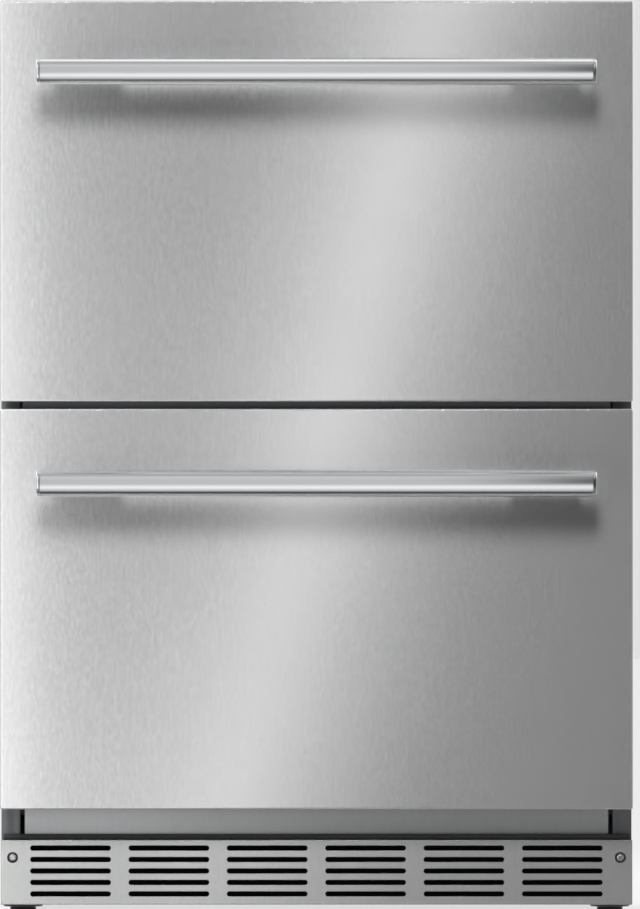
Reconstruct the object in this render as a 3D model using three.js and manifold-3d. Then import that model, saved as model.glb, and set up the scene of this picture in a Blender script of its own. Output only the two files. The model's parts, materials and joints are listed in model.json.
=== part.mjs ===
// Undercounter drawer refrigerator: two stacked stainless drawers on telescopic slides in an insulated
// cabinet, with a slotted toe grille, a machine bay at the back and four levelling legs.
// Millimetres. +X is to the right of someone facing the drawers, +Y to the back, +Z up, floor at z = 0.
import * as THREE from "three";
import { mergeVertices } from "three/addons/utils/BufferGeometryUtils.js";
import Module from "manifold-3d";

const wasm = await Module();
wasm.setup();

// ---------------------------------------------------------------------------------------------
// Driving dimensions
// ---------------------------------------------------------------------------------------------
const SEAT = 0.3; // gap left between two pieces that touch

// The face of the appliance, from the floor up
const OVERALL_WIDTH = 606;
const FLOOR_GAP = 10;
const GRILLE_HEIGHT = 62;
const RAIL_REVEAL = 30;
const FRONT_HEIGHT = 383.5;
const FRONT_GAP = 7;
const CABINET_TOP_SETBACK = 2;

// Depths, from the cabinet's face plane at y = 0
const CABINET_DEPTH = 550;
const SEAL_GAP = 9;
const FRONT_THICKNESS = 45;
const GRILLE_PROUD = 14;

// Cabinet
const CABINET_INSET = 0.7;
const WRAP_SHEET = 1.2;
const WRAP_BOTTOM = 14;
const SIDE_FLANGE = 18;
const TOP_FLANGE = 22;
const REAR_FLANGE = 12;
const SIDE_WALL = 38;
const BACK_WALL = 45;
const FLOOR_WALL = 34;
const LINER_SHEET = 2;
const BREAKER_DEPTH = 8;
const CAVITY_FLOOR = 130;
const CAVITY_CEILING = 836;
const CAVITY_CORNER = 14;
const HUMP_TOP = 268;
const HUMP_FRONT = 310;
const PANEL_SHEET = 1.2;
const REAR_RIB = 2;
const REAR_RIB_WIDTH = 26;

// Mullion between the drawers and rail under them
const MULLION_HEIGHT = 40;
const MULLION_DEPTH = 48;
const MULLION_SEAM = 2.3;
const RAIL_SEAM = 4.3;
const RAIL_OVERLAP = 6;
const RAIL_RETURN = 20;

// Drawer fronts
const SKIN_SHEET = 1;
const FRONT_EDGE_RADIUS = 1.6;
const CORE_PLATE = 2.7;
const PLUG_HEIGHT = 12;
const PLUG_CLEARANCE = 8;
const GASKET_INSET = 3;
const GASKET_WIDTH = 13;
const GASKET_NECK = 6;
const GASKET_MAGNET = 4.5;
const GASKET_DART = 3.4;
const GASKET_DART_DEPTH = 4;

// Handles
const BAR_DIAMETER = 25.7;
const BAR_INSET = 38; // end of the tube to the front's side
const BAR_WALL = 2;
const CAP_THICKNESS = 2.55;
const CAP_ROUNDING = 2;
const CAP_SPIGOT = 9;
const HANDLE_CLEARANCE = 34;
const UPPER_HANDLE_DROP = 68;
const LOWER_HANDLE_DROP = 71.3;
const POST_INSET = 46.5; // post's centre to the end of the tube
const POST_WIDTH = 66;
const POST_HEIGHT = 18;
const POST_BITE = 7;

// Drawer bins
const BIN_WALL = 2.5;
const BIN_CORNER = 16;
const BIN_FOOT_ROUNDING = 8;
const BIN_REAR_CLEARANCE = 6.7; // between its rim and the evaporator's cover
const BIN_RIM_REACH = 7;
const BIN_RIM_HEIGHT = 5;
const UPPER_BIN_CLEARANCE = 10; // above the mullion
const UPPER_BIN_HEADROOM = 77; // under the ceiling
const LOWER_BIN_CLEARANCE = 10; // above the cavity's floor
const LOWER_BIN_HEADROOM = 17; // under the mullion
const STEP_CLEARANCE = 12; // between the lower bin and the hump

// Telescopic slides
const SLIDE_LENGTH = 445;
const SLIDE_FRONT = 12;
const SLIDE_HEIGHT = 45;
const SLIDE_SHEET = 1.2;
const SLIDE_PLAY = 0.45; // between the tracks of two nested members
const SLIDE_TRACK_RADIUS = 7.25;
const SLIDE_BELOW_RIM = 52;
const SLIDE_LIP_ANGLE = Math.PI / 3;

// Toe grille
const GRILLE_SHEET = 1.2;
const SLOT_COLUMNS = 6;
const SLOT_ROWS = 5;
const SLOT_HEIGHT = 4.9;
const SLOT_BRIDGE = 17.05; // between two slots of a row
const SLOT_MARGIN = 28.5; // between a row's end and the grille's side
const SLOT_PITCH_Z = 11;
const SLOT_FIELD_RISE = 1.3; // the slots' centre above the grille's centre
const GRILLE_SCREW_INSET = 11.6; // from the grille's side
const GRILLE_SCREW_HEIGHT = 55.3;
const SCREW_HEAD_DIAMETER = 9.8;
const SCREW_HEAD_HEIGHT = 2.2;
const SCREW_SHANK_DIAMETER = 4;
const SCREW_LENGTH = 22;
const SCREW_CROSS = 4.6;
const SCREW_CROSS_WIDTH = 1.1;
const SCREW_CROSS_DEPTH = 1.2;

// Base pan and levelling legs
const BASE_SHEET = 1.5;
const BASE_SIDE_HEIGHT = 26;
const BASE_NUT_DIAMETER = 20;
const BASE_NUT_HEIGHT = 12;
const LEG_INSET_X = 20.4; // leg axis to the cabinet's side
const LEG_INSET_FRONT = 34;
const LEG_INSET_REAR = 30;
const LEG_STEM_DIAMETER = 10;
const LEG_STEM_TOP = 60;
const LEG_FLANGE_DIAMETER = 38.6;
const LEG_FLANGE_BOTTOM = 7.6;
const LEG_FLANGE_TOP = 12;
const LEG_FLANGE_ROUNDING = 2;
const LEG_PAD_DIAMETER = 27;

// Machine bay
const COMPRESSOR_WIDTH = 178;
const COMPRESSOR_DEPTH = 150;
const COMPRESSOR_HEIGHT = 150;
const COMPRESSOR_INSET = 137.3; // its axis to the cabinet's left side
const BAY_PARTS_INSET = 102; // centre of the bay's parts to the cabinet's back
const COMPRESSOR_PLATE_HEIGHT = 14;
const CONDENSER_INSET = 124.3; // its centre to the cabinet's right side
const CONDENSER_DEPTH = 44;
const CONDENSER_LENGTH = 150;
const CONDENSER_HEIGHT = 140;
const CONDENSER_FINS = 6;
const CONDENSER_PASSES = 2;
const COIL_TUBE_DIAMETER = 8;
const FIN_SHEET = 1.2;
const BAY_FAN_DIAMETER = 124;
const SHROUD_SIZE = 150;
const SHROUD_SHEET = 2;
const SHROUD_RING = 24;
const SHROUD_STAND_OFF = 28; // from the condenser's fins
const FAN_TIP_CLEARANCE = 4;
const FAN_HUB_DIAMETER = 36;
const FAN_HUB_LENGTH = 16;
const FAN_BLADE_SHEET = 1.8;
const FAN_BLADE_PITCH = 0.5;
const FAN_SHAFT_DIAMETER = 6;
const MOTOR_DIAMETER = 44;
const MOTOR_LENGTH = 26;
const MOTOR_ARM_WIDTH = 8;
const MOTOR_ARM_DEPTH = 4;
const TRAY_LENGTH = 150;
const TRAY_WIDTH = 120;
const TRAY_DEPTH = 22;
const TRAY_SHEET = 2;
const REAR_COVER_BOTTOM = 20;
const REAR_COVER_GAP = 2;
const REAR_SLOT_HEIGHT = 5;
const REAR_SLOT_PITCH = 20;
const REAR_SLOT_ROWS = 7;
const REAR_SLOT_COLUMNS = 3;
const REAR_SLOT_BRIDGE = 20;
const REAR_SLOT_MARGIN = 84;
const INLET_WIDTH = 28;
const INLET_HEIGHT = 22;
const INLET_DEPTH = 26;
const INLET_INSET = 48.3; // its centre to the cabinet's left side
const INLET_RISE = 48; // its centre above the wrapper's foot

// Evaporator
const COVER_SIDE_MARGIN = 38.3;
const COVER_RISE = 11; // above the mullion
const COVER_HEADROOM = 30;
const COVER_DEPTH = 52;
const COVER_SHEET = 2.5;
const COVER_FAN_DROP = 76; // the fan's axis under the cover's top
const COVER_SLOT_ROWS = 4;
const COVER_SLOT_PITCH = 13;
const COVER_SLOT_LENGTH = 300;
const COVER_SLOT_HEIGHT = 6;
const COVER_SLOT_RISE = 24;
const COLD_FAN_DIAMETER = 92;
const COLD_FAN_HUB_LENGTH = 10;
const COLD_MOTOR_LENGTH = 12;
const EVAPORATOR_LENGTH = 300;
const EVAPORATOR_HEIGHT = 92;
const EVAPORATOR_DEPTH = 30;
const EVAPORATOR_RISE = 36; // above the cover's foot
const EVAPORATOR_FINS = 6;
const EVAPORATOR_PASSES = 2;

// Controls and lamp under the ceiling
const CONTROL_WIDTH = 240;
const CONTROL_DEPTH = 46;
const CONTROL_HEIGHT = 24;
const CONTROL_FRONT = 26;
const CONTROL_SHELL = 2.5;
const BUTTON_WIDTH = 18;
const BUTTON_HEIGHT = 9;
const BUTTON_LENGTH = 9;
const BUTTON_PROUD = 1.6;
const BUTTON_SPACING = 34;
const BUTTON_CENTRE_X = 78;
const BUTTON_CLEARANCE = 0.35;
const WINDOW_WIDTH = 64;
const WINDOW_HEIGHT = 11;
const WINDOW_X = -10;
const LAMP_LENGTH = 220;
const LAMP_WIDTH = 26;
const LAMP_HEIGHT = 9;
const LAMP_Y = 230;

// ---------------------------------------------------------------------------------------------
// Levels and planes worked out from them
// ---------------------------------------------------------------------------------------------
const halfWidth = OVERALL_WIDTH / 2;
const barLength = OVERALL_WIDTH - 2 * BAR_INSET;
const postX = barLength / 2 - POST_INSET;
const slotPitch = (OVERALL_WIDTH - 2 * SLOT_MARGIN + SLOT_BRIDGE) / SLOT_COLUMNS;
const slotLength = slotPitch - SLOT_BRIDGE;
const grilleScrewX = halfWidth - GRILLE_SCREW_INSET;
const grilleTop = FLOOR_GAP + GRILLE_HEIGHT;
const lowerFrontBottom = grilleTop + RAIL_REVEAL;
const lowerFrontTop = lowerFrontBottom + FRONT_HEIGHT;
const upperFrontBottom = lowerFrontTop + FRONT_GAP;
const upperFrontTop = upperFrontBottom + FRONT_HEIGHT;
const cabinetTop = upperFrontTop - CABINET_TOP_SETBACK;
const cabinetHalf = halfWidth - CABINET_INSET;
const insideHalf = cabinetHalf - WRAP_SHEET - SEAT; // what fits between the wrapper's sides
const insideTop = cabinetTop - WRAP_SHEET - SEAT;
const cavityHalf = cabinetHalf - SIDE_WALL;
const cavityBack = CABINET_DEPTH - BACK_WALL;
const flangeEdge = cabinetHalf - SIDE_FLANGE;

const breakerFront = WRAP_SHEET + SEAT;
const breakerBack = breakerFront + BREAKER_DEPTH;
const linerFront = breakerBack + SEAT;
const foamFront = linerFront + LINER_SHEET + SEAT;
const backPanelFront = CABINET_DEPTH - PANEL_SHEET;
const wrapBack = backPanelFront - SEAT;
const foamBack = wrapBack - WRAP_SHEET - SEAT;

const channelCeiling = CAVITY_FLOOR - FLOOR_WALL; // underside of the insulated floor
const bayCeiling = HUMP_TOP - FLOOR_WALL;
const bayFront = HUMP_FRONT + FLOOR_WALL;
const baseFloor = WRAP_BOTTOM + BASE_SHEET; // what stands in the machine bay stands on this
const bayFanHeight = baseFloor + SEAT + SHROUD_SIZE / 2;
const bayPartsY = CABINET_DEPTH - BAY_PARTS_INSET;
const compressorX = COMPRESSOR_INSET - cabinetHalf;
const condenserX = cabinetHalf - CONDENSER_INSET;
const shroudX = condenserX - CONDENSER_DEPTH / 2 - SHROUD_STAND_OFF;
const inletX = INLET_INSET - cabinetHalf;
const inletZ = WRAP_BOTTOM + INLET_RISE;

const mullionCentre = (lowerFrontTop + upperFrontBottom) / 2;
const mullionBottom = mullionCentre - MULLION_HEIGHT / 2;
const mullionTop = mullionCentre + MULLION_HEIGHT / 2;

const frontBack = -SEAL_GAP; // rear face of a drawer front
const frontFace = frontBack - FRONT_THICKNESS;
const plugBack = frontBack + PLUG_HEIGHT;
const barRadius = BAR_DIAMETER / 2;
const barAxisY = frontFace - HANDLE_CLEARANCE - barRadius;

const slideMiddleRadius = SLIDE_TRACK_RADIUS - SLIDE_SHEET - SLIDE_PLAY;
const slideInnerRadius = slideMiddleRadius - SLIDE_SHEET - SLIDE_PLAY;
const slideAxisFromWall = SLIDE_TRACK_RADIUS + SLIDE_SHEET / 2;
const slideThickness = slideAxisFromWall + slideInnerRadius + SLIDE_SHEET / 2;
const binHalf = cavityHalf - slideThickness - 2 * SEAT;
const binFront = plugBack + SEAT;

const coverFront = cavityBack - COVER_DEPTH;
const coverHalf = cavityHalf - COVER_SIDE_MARGIN;
const coverBottom = mullionTop + COVER_RISE;
const coverTop = CAVITY_CEILING - COVER_HEADROOM;
const coverFanHeight = coverTop - COVER_FAN_DROP;

const binBack = coverFront - BIN_REAR_CLEARANCE - BIN_RIM_REACH;
const upperBinBottom = mullionTop + UPPER_BIN_CLEARANCE;
const upperBinTop = CAVITY_CEILING - UPPER_BIN_HEADROOM;
const lowerBinBottom = CAVITY_FLOOR + LOWER_BIN_CLEARANCE;
const lowerBinTop = mullionBottom - LOWER_BIN_HEADROOM;

const frontmost = barAxisY - barRadius;
const rearmost = CABINET_DEPTH + REAR_RIB;

// ---------------------------------------------------------------------------------------------
// Solids
// ---------------------------------------------------------------------------------------------
function solidFrom(geometry) {
  const bare = geometry.index ? geometry.toNonIndexed() : geometry.clone();
  bare.deleteAttribute("normal");
  bare.deleteAttribute("uv");
  const merged = mergeVertices(bare, 1e-4);
  const mesh = new wasm.Mesh({
    numProp: 3,
    vertProperties: merged.attributes.position.array,
    triVerts: new Uint32Array(merged.index.array),
  });
  return new wasm.Manifold(mesh);
}

function geometryFrom(solid) {
  const mesh = solid.getMesh();
  const geometry = new THREE.BufferGeometry();
  geometry.setAttribute("position", new THREE.BufferAttribute(mesh.vertProperties, 3));
  geometry.setIndex(new THREE.BufferAttribute(mesh.triVerts, 1));
  const faceted = geometry.toNonIndexed();
  faceted.computeVertexNormals();
  return faceted;
}

function joined(...solids) {
  return solids.reduce((whole, piece) => whole.add(piece));
}

// A box between two corners.
function block(x0, x1, y0, y1, z0, z1) {
  const geometry = new THREE.BoxGeometry(x1 - x0, y1 - y0, z1 - z0);
  return solidFrom(geometry.translate((x0 + x1) / 2, (y0 + y1) / 2, (z0 + z1) / 2));
}

// A rectangle, with round corners where radius is over 0.
function rectangle(x0, x1, y0, y1, radius = 0) {
  const shape = new THREE.Shape();
  if (radius <= 0) {
    shape.moveTo(x0, y0).lineTo(x1, y0).lineTo(x1, y1).lineTo(x0, y1);
    return shape;
  }
  shape.absarc(x1 - radius, y0 + radius, radius, -Math.PI / 2, 0);
  shape.absarc(x1 - radius, y1 - radius, radius, 0, Math.PI / 2);
  shape.absarc(x0 + radius, y1 - radius, radius, Math.PI / 2, Math.PI);
  shape.absarc(x0 + radius, y0 + radius, radius, Math.PI, 1.5 * Math.PI);
  return shape;
}

// A closed outline through corners, each {at: [a, b], radius}, rounded where radius is over 0.
function roundedOutline(corners) {
  const shape = new THREE.Shape();
  const count = corners.length;
  corners.forEach(({ at, radius = 0 }, i) => {
    const here = new THREE.Vector2(...at);
    const before = new THREE.Vector2(...corners[(i + count - 1) % count].at).sub(here).normalize();
    const after = new THREE.Vector2(...corners[(i + 1) % count].at).sub(here).normalize();
    const entry = here.clone().addScaledVector(before, radius);
    const exit = here.clone().addScaledVector(after, radius);
    if (i === 0) shape.moveTo(entry.x, entry.y);
    else shape.lineTo(entry.x, entry.y);
    if (radius > 0) shape.quadraticCurveTo(here.x, here.y, exit.x, exit.y);
  });
  return shape;
}

const ALONG = {
  x: new THREE.Matrix4().makeBasis(
    new THREE.Vector3(0, 1, 0),
    new THREE.Vector3(0, 0, 1),
    new THREE.Vector3(1, 0, 0),
  ),
  y: new THREE.Matrix4().makeBasis(
    new THREE.Vector3(1, 0, 0),
    new THREE.Vector3(0, 0, 1),
    new THREE.Vector3(0, -1, 0),
  ),
  z: new THREE.Matrix4(),
};

// A shape extruded along an axis. It is drawn in (y, z) for x, in (x, z) for y and in (x, y) for z.
function prism(shape, axis, from, to, curveSegments = 5) {
  const depth = to - from;
  const geometry = new THREE.ExtrudeGeometry(shape, { depth, curveSegments, bevelEnabled: false });
  geometry.applyMatrix4(ALONG[axis]);
  const start = axis === "y" ? to : from;
  const place = { x: 0, y: 0, z: 0, [axis]: start };
  return solidFrom(geometry.translate(place.x, place.y, place.z));
}

// A profile of [radius, height] pairs turned about +Z.
function turned(profile, segments) {
  const points = profile.map(([radius, height]) => new THREE.Vector2(radius, height));
  const geometry = new THREE.LatheGeometry(points, segments);
  return solidFrom(geometry.applyMatrix4(new THREE.Matrix4().makeRotationX(Math.PI / 2)));
}

// A round bar between two ends of one axis, through (a, b) of the other two.
function rod(axis, radius, from, to, a, b, segments = 16) {
  const geometry = new THREE.CylinderGeometry(radius, radius, to - from, segments);
  const middle = (from + to) / 2;
  if (axis === "x") geometry.rotateZ(Math.PI / 2).translate(middle, a, b);
  if (axis === "y") geometry.translate(a, middle, b);
  if (axis === "z") geometry.rotateX(Math.PI / 2).translate(a, b, middle);
  return solidFrom(geometry);
}

// A flat rectangular ring in the XZ plane, from y0 to y1: its outer rectangle less its border's width.
function ring(x0, x1, z0, z1, border, y0, y1) {
  const shape = rectangle(x0, x1, z0, z1);
  shape.holes.push(rectangle(x0 + border, x1 - border, z0 + border, z1 - border));
  return prism(shape, "y", y0, y1);
}

// A slot with round ends, lying along the first axis, centred on (x, z).
function slotPath(x, z, length, height) {
  const radius = height / 2;
  const reach = length / 2 - radius;
  const shape = new THREE.Shape();
  shape.absarc(x + reach, z, radius, -Math.PI / 2, Math.PI / 2);
  shape.absarc(x - reach, z, radius, Math.PI / 2, 1.5 * Math.PI);
  return shape;
}

// ---------------------------------------------------------------------------------------------
// Materials and the scene graph
// ---------------------------------------------------------------------------------------------
function material(color, roughness, metalness) {
  return new THREE.MeshStandardMaterial({ color, roughness, metalness });
}

const MATERIALS = {
  brushedSteel: material(0xc4c5c7, 0.34, 1),
  satinBar: material(0xd3d5d6, 0.22, 1),
  railSteel: material(0x9a9c9e, 0.4, 1),
  zinc: material(0xb4b7ba, 0.38, 1),
  darkPaint: material(0x3b3d3f, 0.6, 0.2),
  blackPaint: material(0x17181a, 0.5, 0.2),
  blackPlastic: material(0x161718, 0.6, 0),
  linerPlastic: material(0xdcdedd, 0.45, 0),
  binPlastic: material(0xc9cccd, 0.35, 0),
  sealRubber: material(0x4c4e50, 0.8, 0),
  foam: material(0xd8c48e, 0.95, 0),
  copper: material(0xb0714a, 0.4, 1),
  lens: material(0xf2f4f4, 0.3, 0),
  chrome: material(0xe6e7e8, 0.12, 1),
};

const appliance = new THREE.Group();
appliance.position.y = -(frontmost + rearmost) / 2;

const cabinet = new THREE.Group();
const machineBay = new THREE.Group();
appliance.add(cabinet, machineBay);

function place(group, name, solid, look, position = [0, 0, 0], turn = null) {
  const mesh = new THREE.Mesh(geometryFrom(solid), MATERIALS[look]);
  mesh.name = name;
  mesh.position.set(...position);
  if (turn) mesh.rotation.set(...turn);
  group.add(mesh);
  return mesh;
}

// ---------------------------------------------------------------------------------------------
// Cabinet
// ---------------------------------------------------------------------------------------------

// One steel sheet bent over the sides and the top, with flanges turned in at the front and the back.
function outerWrapper() {
  const below = WRAP_BOTTOM - 1;
  const half = cabinetHalf - WRAP_SHEET;
  const rearHalf = cabinetHalf - REAR_FLANGE;
  const rearFlangeFront = wrapBack - WRAP_SHEET;
  const outside = block(-cabinetHalf, cabinetHalf, 0, wrapBack, WRAP_BOTTOM, cabinetTop);
  const inside = block(-half, half, WRAP_SHEET, rearFlangeFront, below, cabinetTop - WRAP_SHEET);
  const mouth = block(-flangeEdge, flangeEdge, -1, WRAP_SHEET + 1, below, cabinetTop - TOP_FLANGE);
  const rearTop = cabinetTop - REAR_FLANGE;
  const rear = block(-rearHalf, rearHalf, rearFlangeFront - 1, wrapBack + 1, below, rearTop);
  const bore = SCREW_SHANK_DIAMETER / 2 + SEAT;
  const holes = [-1, 1].map((side) => {
    return rod("y", bore, -1, WRAP_SHEET + 1, side * grilleScrewX, GRILLE_SCREW_HEIGHT, 12);
  });
  return outside.subtract(joined(inside, mouth, rear, ...holes));
}

// The stepped outline of the cavity seen from the side, grown outwards by a wall.
function cavityOutline(front, grow) {
  const radius = CAVITY_CORNER + grow;
  const low = CAVITY_FLOOR - grow;
  const back = cavityBack + grow;
  return roundedOutline([
    { at: [front, low] },
    { at: [HUMP_FRONT + grow, low], radius },
    { at: [HUMP_FRONT + grow, HUMP_TOP - grow], radius: CAVITY_CORNER / 2 },
    { at: [back, HUMP_TOP - grow], radius },
    { at: [back, CAVITY_CEILING + grow], radius },
    { at: [front, CAVITY_CEILING + grow] },
  ]);
}

// The moulded lining of the cold space, stepped over the machine bay, with a flange at its mouth.
function innerLiner() {
  const outside = cavityHalf + LINER_SHEET;
  const body = prism(cavityOutline(linerFront, LINER_SHEET), "x", -outside, outside);
  const flangeBottom = channelCeiling + PANEL_SHEET + SEAT;
  const flangeBack = linerFront + LINER_SHEET;
  const flange = block(-insideHalf, insideHalf, linerFront, flangeBack, flangeBottom, insideTop);
  const hollow = prism(cavityOutline(linerFront - 1, 0), "x", -cavityHalf, cavityHalf);
  return body.add(flange).subtract(hollow);
}

// The foam between the wrapper, the back panel, the bottom panel and the lining.
function foamBody() {
  const low = channelCeiling + PANEL_SHEET + SEAT;
  const step = bayFront - PANEL_SHEET - SEAT;
  const stepTop = bayCeiling + PANEL_SHEET + SEAT;
  const outline = roundedOutline([
    { at: [foamFront, low] },
    { at: [step, low] },
    { at: [step, stepTop] },
    { at: [foamBack, stepTop] },
    { at: [foamBack, insideTop] },
    { at: [foamFront, insideTop] },
  ]);
  const hollowHalf = cavityHalf + LINER_SHEET + SEAT;
  const hollow = prism(cavityOutline(foamFront - 1, LINER_SHEET + SEAT), "x", -hollowHalf, hollowHalf);
  return prism(outline, "x", -insideHalf, insideHalf).subtract(hollow);
}

// The steel panel under the foam: floor of the cold space in front, then up and over the machine bay.
function bottomPanel() {
  const outline = roundedOutline([
    { at: [foamFront, channelCeiling] },
    { at: [bayFront, channelCeiling] },
    { at: [bayFront, bayCeiling] },
    { at: [foamBack, bayCeiling] },
    { at: [foamBack, bayCeiling + PANEL_SHEET] },
    { at: [bayFront - PANEL_SHEET, bayCeiling + PANEL_SHEET] },
    { at: [bayFront - PANEL_SHEET, channelCeiling + PANEL_SHEET] },
    { at: [foamFront, channelCeiling + PANEL_SHEET] },
  ]);
  return prism(outline, "x", -insideHalf, insideHalf);
}

// The back panel, stamped with two flat ribs that stand out.
function backPanel() {
  const half = cabinetHalf - REAR_FLANGE / 4;
  const low = bayCeiling;
  const high = cabinetTop - REAR_FLANGE / 4;
  const sheet = block(-half, half, backPanelFront, CABINET_DEPTH, low, high);
  const ribHalf = half - REAR_RIB_WIDTH * 1.5;
  const ribs = [1, 2].map((third) => {
    const centre = low + ((high - low) * third) / 3;
    const lying = slotPath(0, centre, ribHalf * 2, REAR_RIB_WIDTH);
    return prism(lying, "y", CABINET_DEPTH - PANEL_SHEET / 2, CABINET_DEPTH + REAR_RIB);
  });
  return joined(sheet, ...ribs);
}

// The dark plastic frame that keeps the steel face apart from the cold lining.
function breakerFrame() {
  const shape = rectangle(-insideHalf, insideHalf, channelCeiling, insideTop);
  shape.holes.push(rectangle(-cavityHalf, cavityHalf, CAVITY_FLOOR, CAVITY_CEILING));
  return prism(shape, "y", breakerFront, breakerBack);
}

// The crossbar between the drawers: a steel face over an insulated body between the cavity's sides.
function centreMullion() {
  const faceHalf = flangeEdge - MULLION_SEAM;
  const bodyHalf = cavityHalf - SEAT;
  const face = block(-faceHalf, faceHalf, 0, WRAP_SHEET, mullionBottom, mullionTop);
  const body = block(
    -bodyHalf,
    bodyHalf,
    WRAP_SHEET / 2,
    MULLION_DEPTH,
    mullionBottom + WRAP_SHEET,
    mullionTop - WRAP_SHEET,
  );
  return face.add(body);
}

// The steel rail under the lower drawer, bent back at its foot.
function bottomRail() {
  const half = flangeEdge - RAIL_SEAM;
  const low = grilleTop - RAIL_OVERLAP;
  const outline = roundedOutline([
    { at: [0, low] },
    { at: [RAIL_RETURN, low] },
    { at: [RAIL_RETURN, low + WRAP_SHEET] },
    { at: [WRAP_SHEET, low + WRAP_SHEET] },
    { at: [WRAP_SHEET, CAVITY_FLOOR - WRAP_SHEET] },
    { at: [0, CAVITY_FLOOR - WRAP_SHEET] },
  ]);
  return prism(outline, "x", -half, half);
}

function legPlaces() {
  const x = cabinetHalf - LEG_INSET_X;
  const front = LEG_INSET_FRONT;
  const rear = CABINET_DEPTH - LEG_INSET_REAR;
  return {
    leg_front_left: [-x, front],
    leg_front_right: [x, front],
    leg_rear_left: [-x, rear],
    leg_rear_right: [x, rear],
  };
}

// The base pan: a floor with a turned-up front and sides, and a nut for each levelling leg.
function basePan() {
  const front = WRAP_SHEET + SEAT;
  const rear = foamBack;
  const top = WRAP_BOTTOM + BASE_SIDE_HEIGHT;
  const half = insideHalf - BASE_SHEET;
  const outside = block(-insideHalf, insideHalf, front, rear, WRAP_BOTTOM, top);
  const inside = block(-half, half, front + BASE_SHEET, rear + 1, baseFloor, top + 1);
  const places = Object.values(legPlaces());
  const nuts = places.map(([x, y]) =>
    rod("z", BASE_NUT_DIAMETER / 2, baseFloor - BASE_SHEET / 2, baseFloor + BASE_NUT_HEIGHT, x, y, 6),
  );
  const bores = places.map(([x, y]) =>
    rod("z", LEG_STEM_DIAMETER / 2 + SEAT, WRAP_BOTTOM - 1, LEG_STEM_TOP, x, y, 16),
  );
  return joined(outside.subtract(inside), ...nuts).subtract(joined(...bores));
}

// A levelling leg: a threaded stem, a wide flange to turn it by, and a pad on the floor.
function levellingLeg() {
  const stem = LEG_STEM_DIAMETER / 2;
  const flange = LEG_FLANGE_DIAMETER / 2;
  const pad = LEG_PAD_DIAMETER / 2;
  return turned(
    [
      [0, 0],
      [pad, 0],
      [pad, LEG_FLANGE_BOTTOM],
      [flange - LEG_FLANGE_ROUNDING, LEG_FLANGE_BOTTOM],
      [flange, LEG_FLANGE_BOTTOM + LEG_FLANGE_ROUNDING],
      [flange, LEG_FLANGE_TOP],
      [stem, LEG_FLANGE_TOP],
      [stem, LEG_STEM_TOP],
      [0, LEG_STEM_TOP],
    ],
    16,
  );
}

// The toe grille: a shallow pan of steel sheet with rows of round-ended slots.
function toeGrille() {
  const face = -GRILLE_PROUD;
  const back = -SEAT;
  const centre = FLOOR_GAP + GRILLE_HEIGHT / 2 + SLOT_FIELD_RISE;
  const outer = block(-halfWidth, halfWidth, face, back, FLOOR_GAP, grilleTop);
  const inner = block(
    -halfWidth + GRILLE_SHEET,
    halfWidth - GRILLE_SHEET,
    face + GRILLE_SHEET,
    back + 1,
    FLOOR_GAP + GRILLE_SHEET,
    grilleTop - GRILLE_SHEET,
  );
  const cuts = [];
  for (let column = 0; column < SLOT_COLUMNS; column++) {
    for (let row = 0; row < SLOT_ROWS; row++) {
      const x = (column - (SLOT_COLUMNS - 1) / 2) * slotPitch;
      const z = centre + (row - (SLOT_ROWS - 1) / 2) * SLOT_PITCH_Z;
      const slot = slotPath(x, z, slotLength, SLOT_HEIGHT);
      cuts.push(prism(slot, "y", face - 1, face + GRILLE_SHEET + 1, 2));
    }
  }
  for (const side of [-1, 1]) {
    const radius = SCREW_SHANK_DIAMETER / 2 + SEAT;
    const through = face + GRILLE_SHEET + 1;
    cuts.push(rod("y", radius, face - 1, through, side * grilleScrewX, GRILLE_SCREW_HEIGHT, 12));
  }
  return outer.subtract(inner).subtract(joined(...cuts));
}

// A pan-head screw with a crossed recess, pointing to +Z.
function grilleScrew() {
  const head = SCREW_HEAD_DIAMETER / 2;
  const shank = SCREW_SHANK_DIAMETER / 2;
  const body = turned(
    [
      [0, -SCREW_HEAD_HEIGHT],
      [head * 0.55, -SCREW_HEAD_HEIGHT * 0.92],
      [head * 0.86, -SCREW_HEAD_HEIGHT * 0.62],
      [head, 0],
      [shank, 0],
      [shank, SCREW_LENGTH - shank],
      [0, SCREW_LENGTH],
    ],
    14,
  );
  const half = SCREW_CROSS / 2;
  const arm = SCREW_CROSS_WIDTH / 2;
  const depth = -SCREW_HEAD_HEIGHT + SCREW_CROSS_DEPTH;
  const top = -SCREW_HEAD_HEIGHT - 1;
  const cross = block(-half, half, -arm, arm, top, depth).add(block(-arm, arm, -half, half, top, depth));
  return body.rotate([0, 0, 360 / 28 + 2]).subtract(cross);
}

// ---------------------------------------------------------------------------------------------
// Machine bay
// ---------------------------------------------------------------------------------------------

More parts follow.
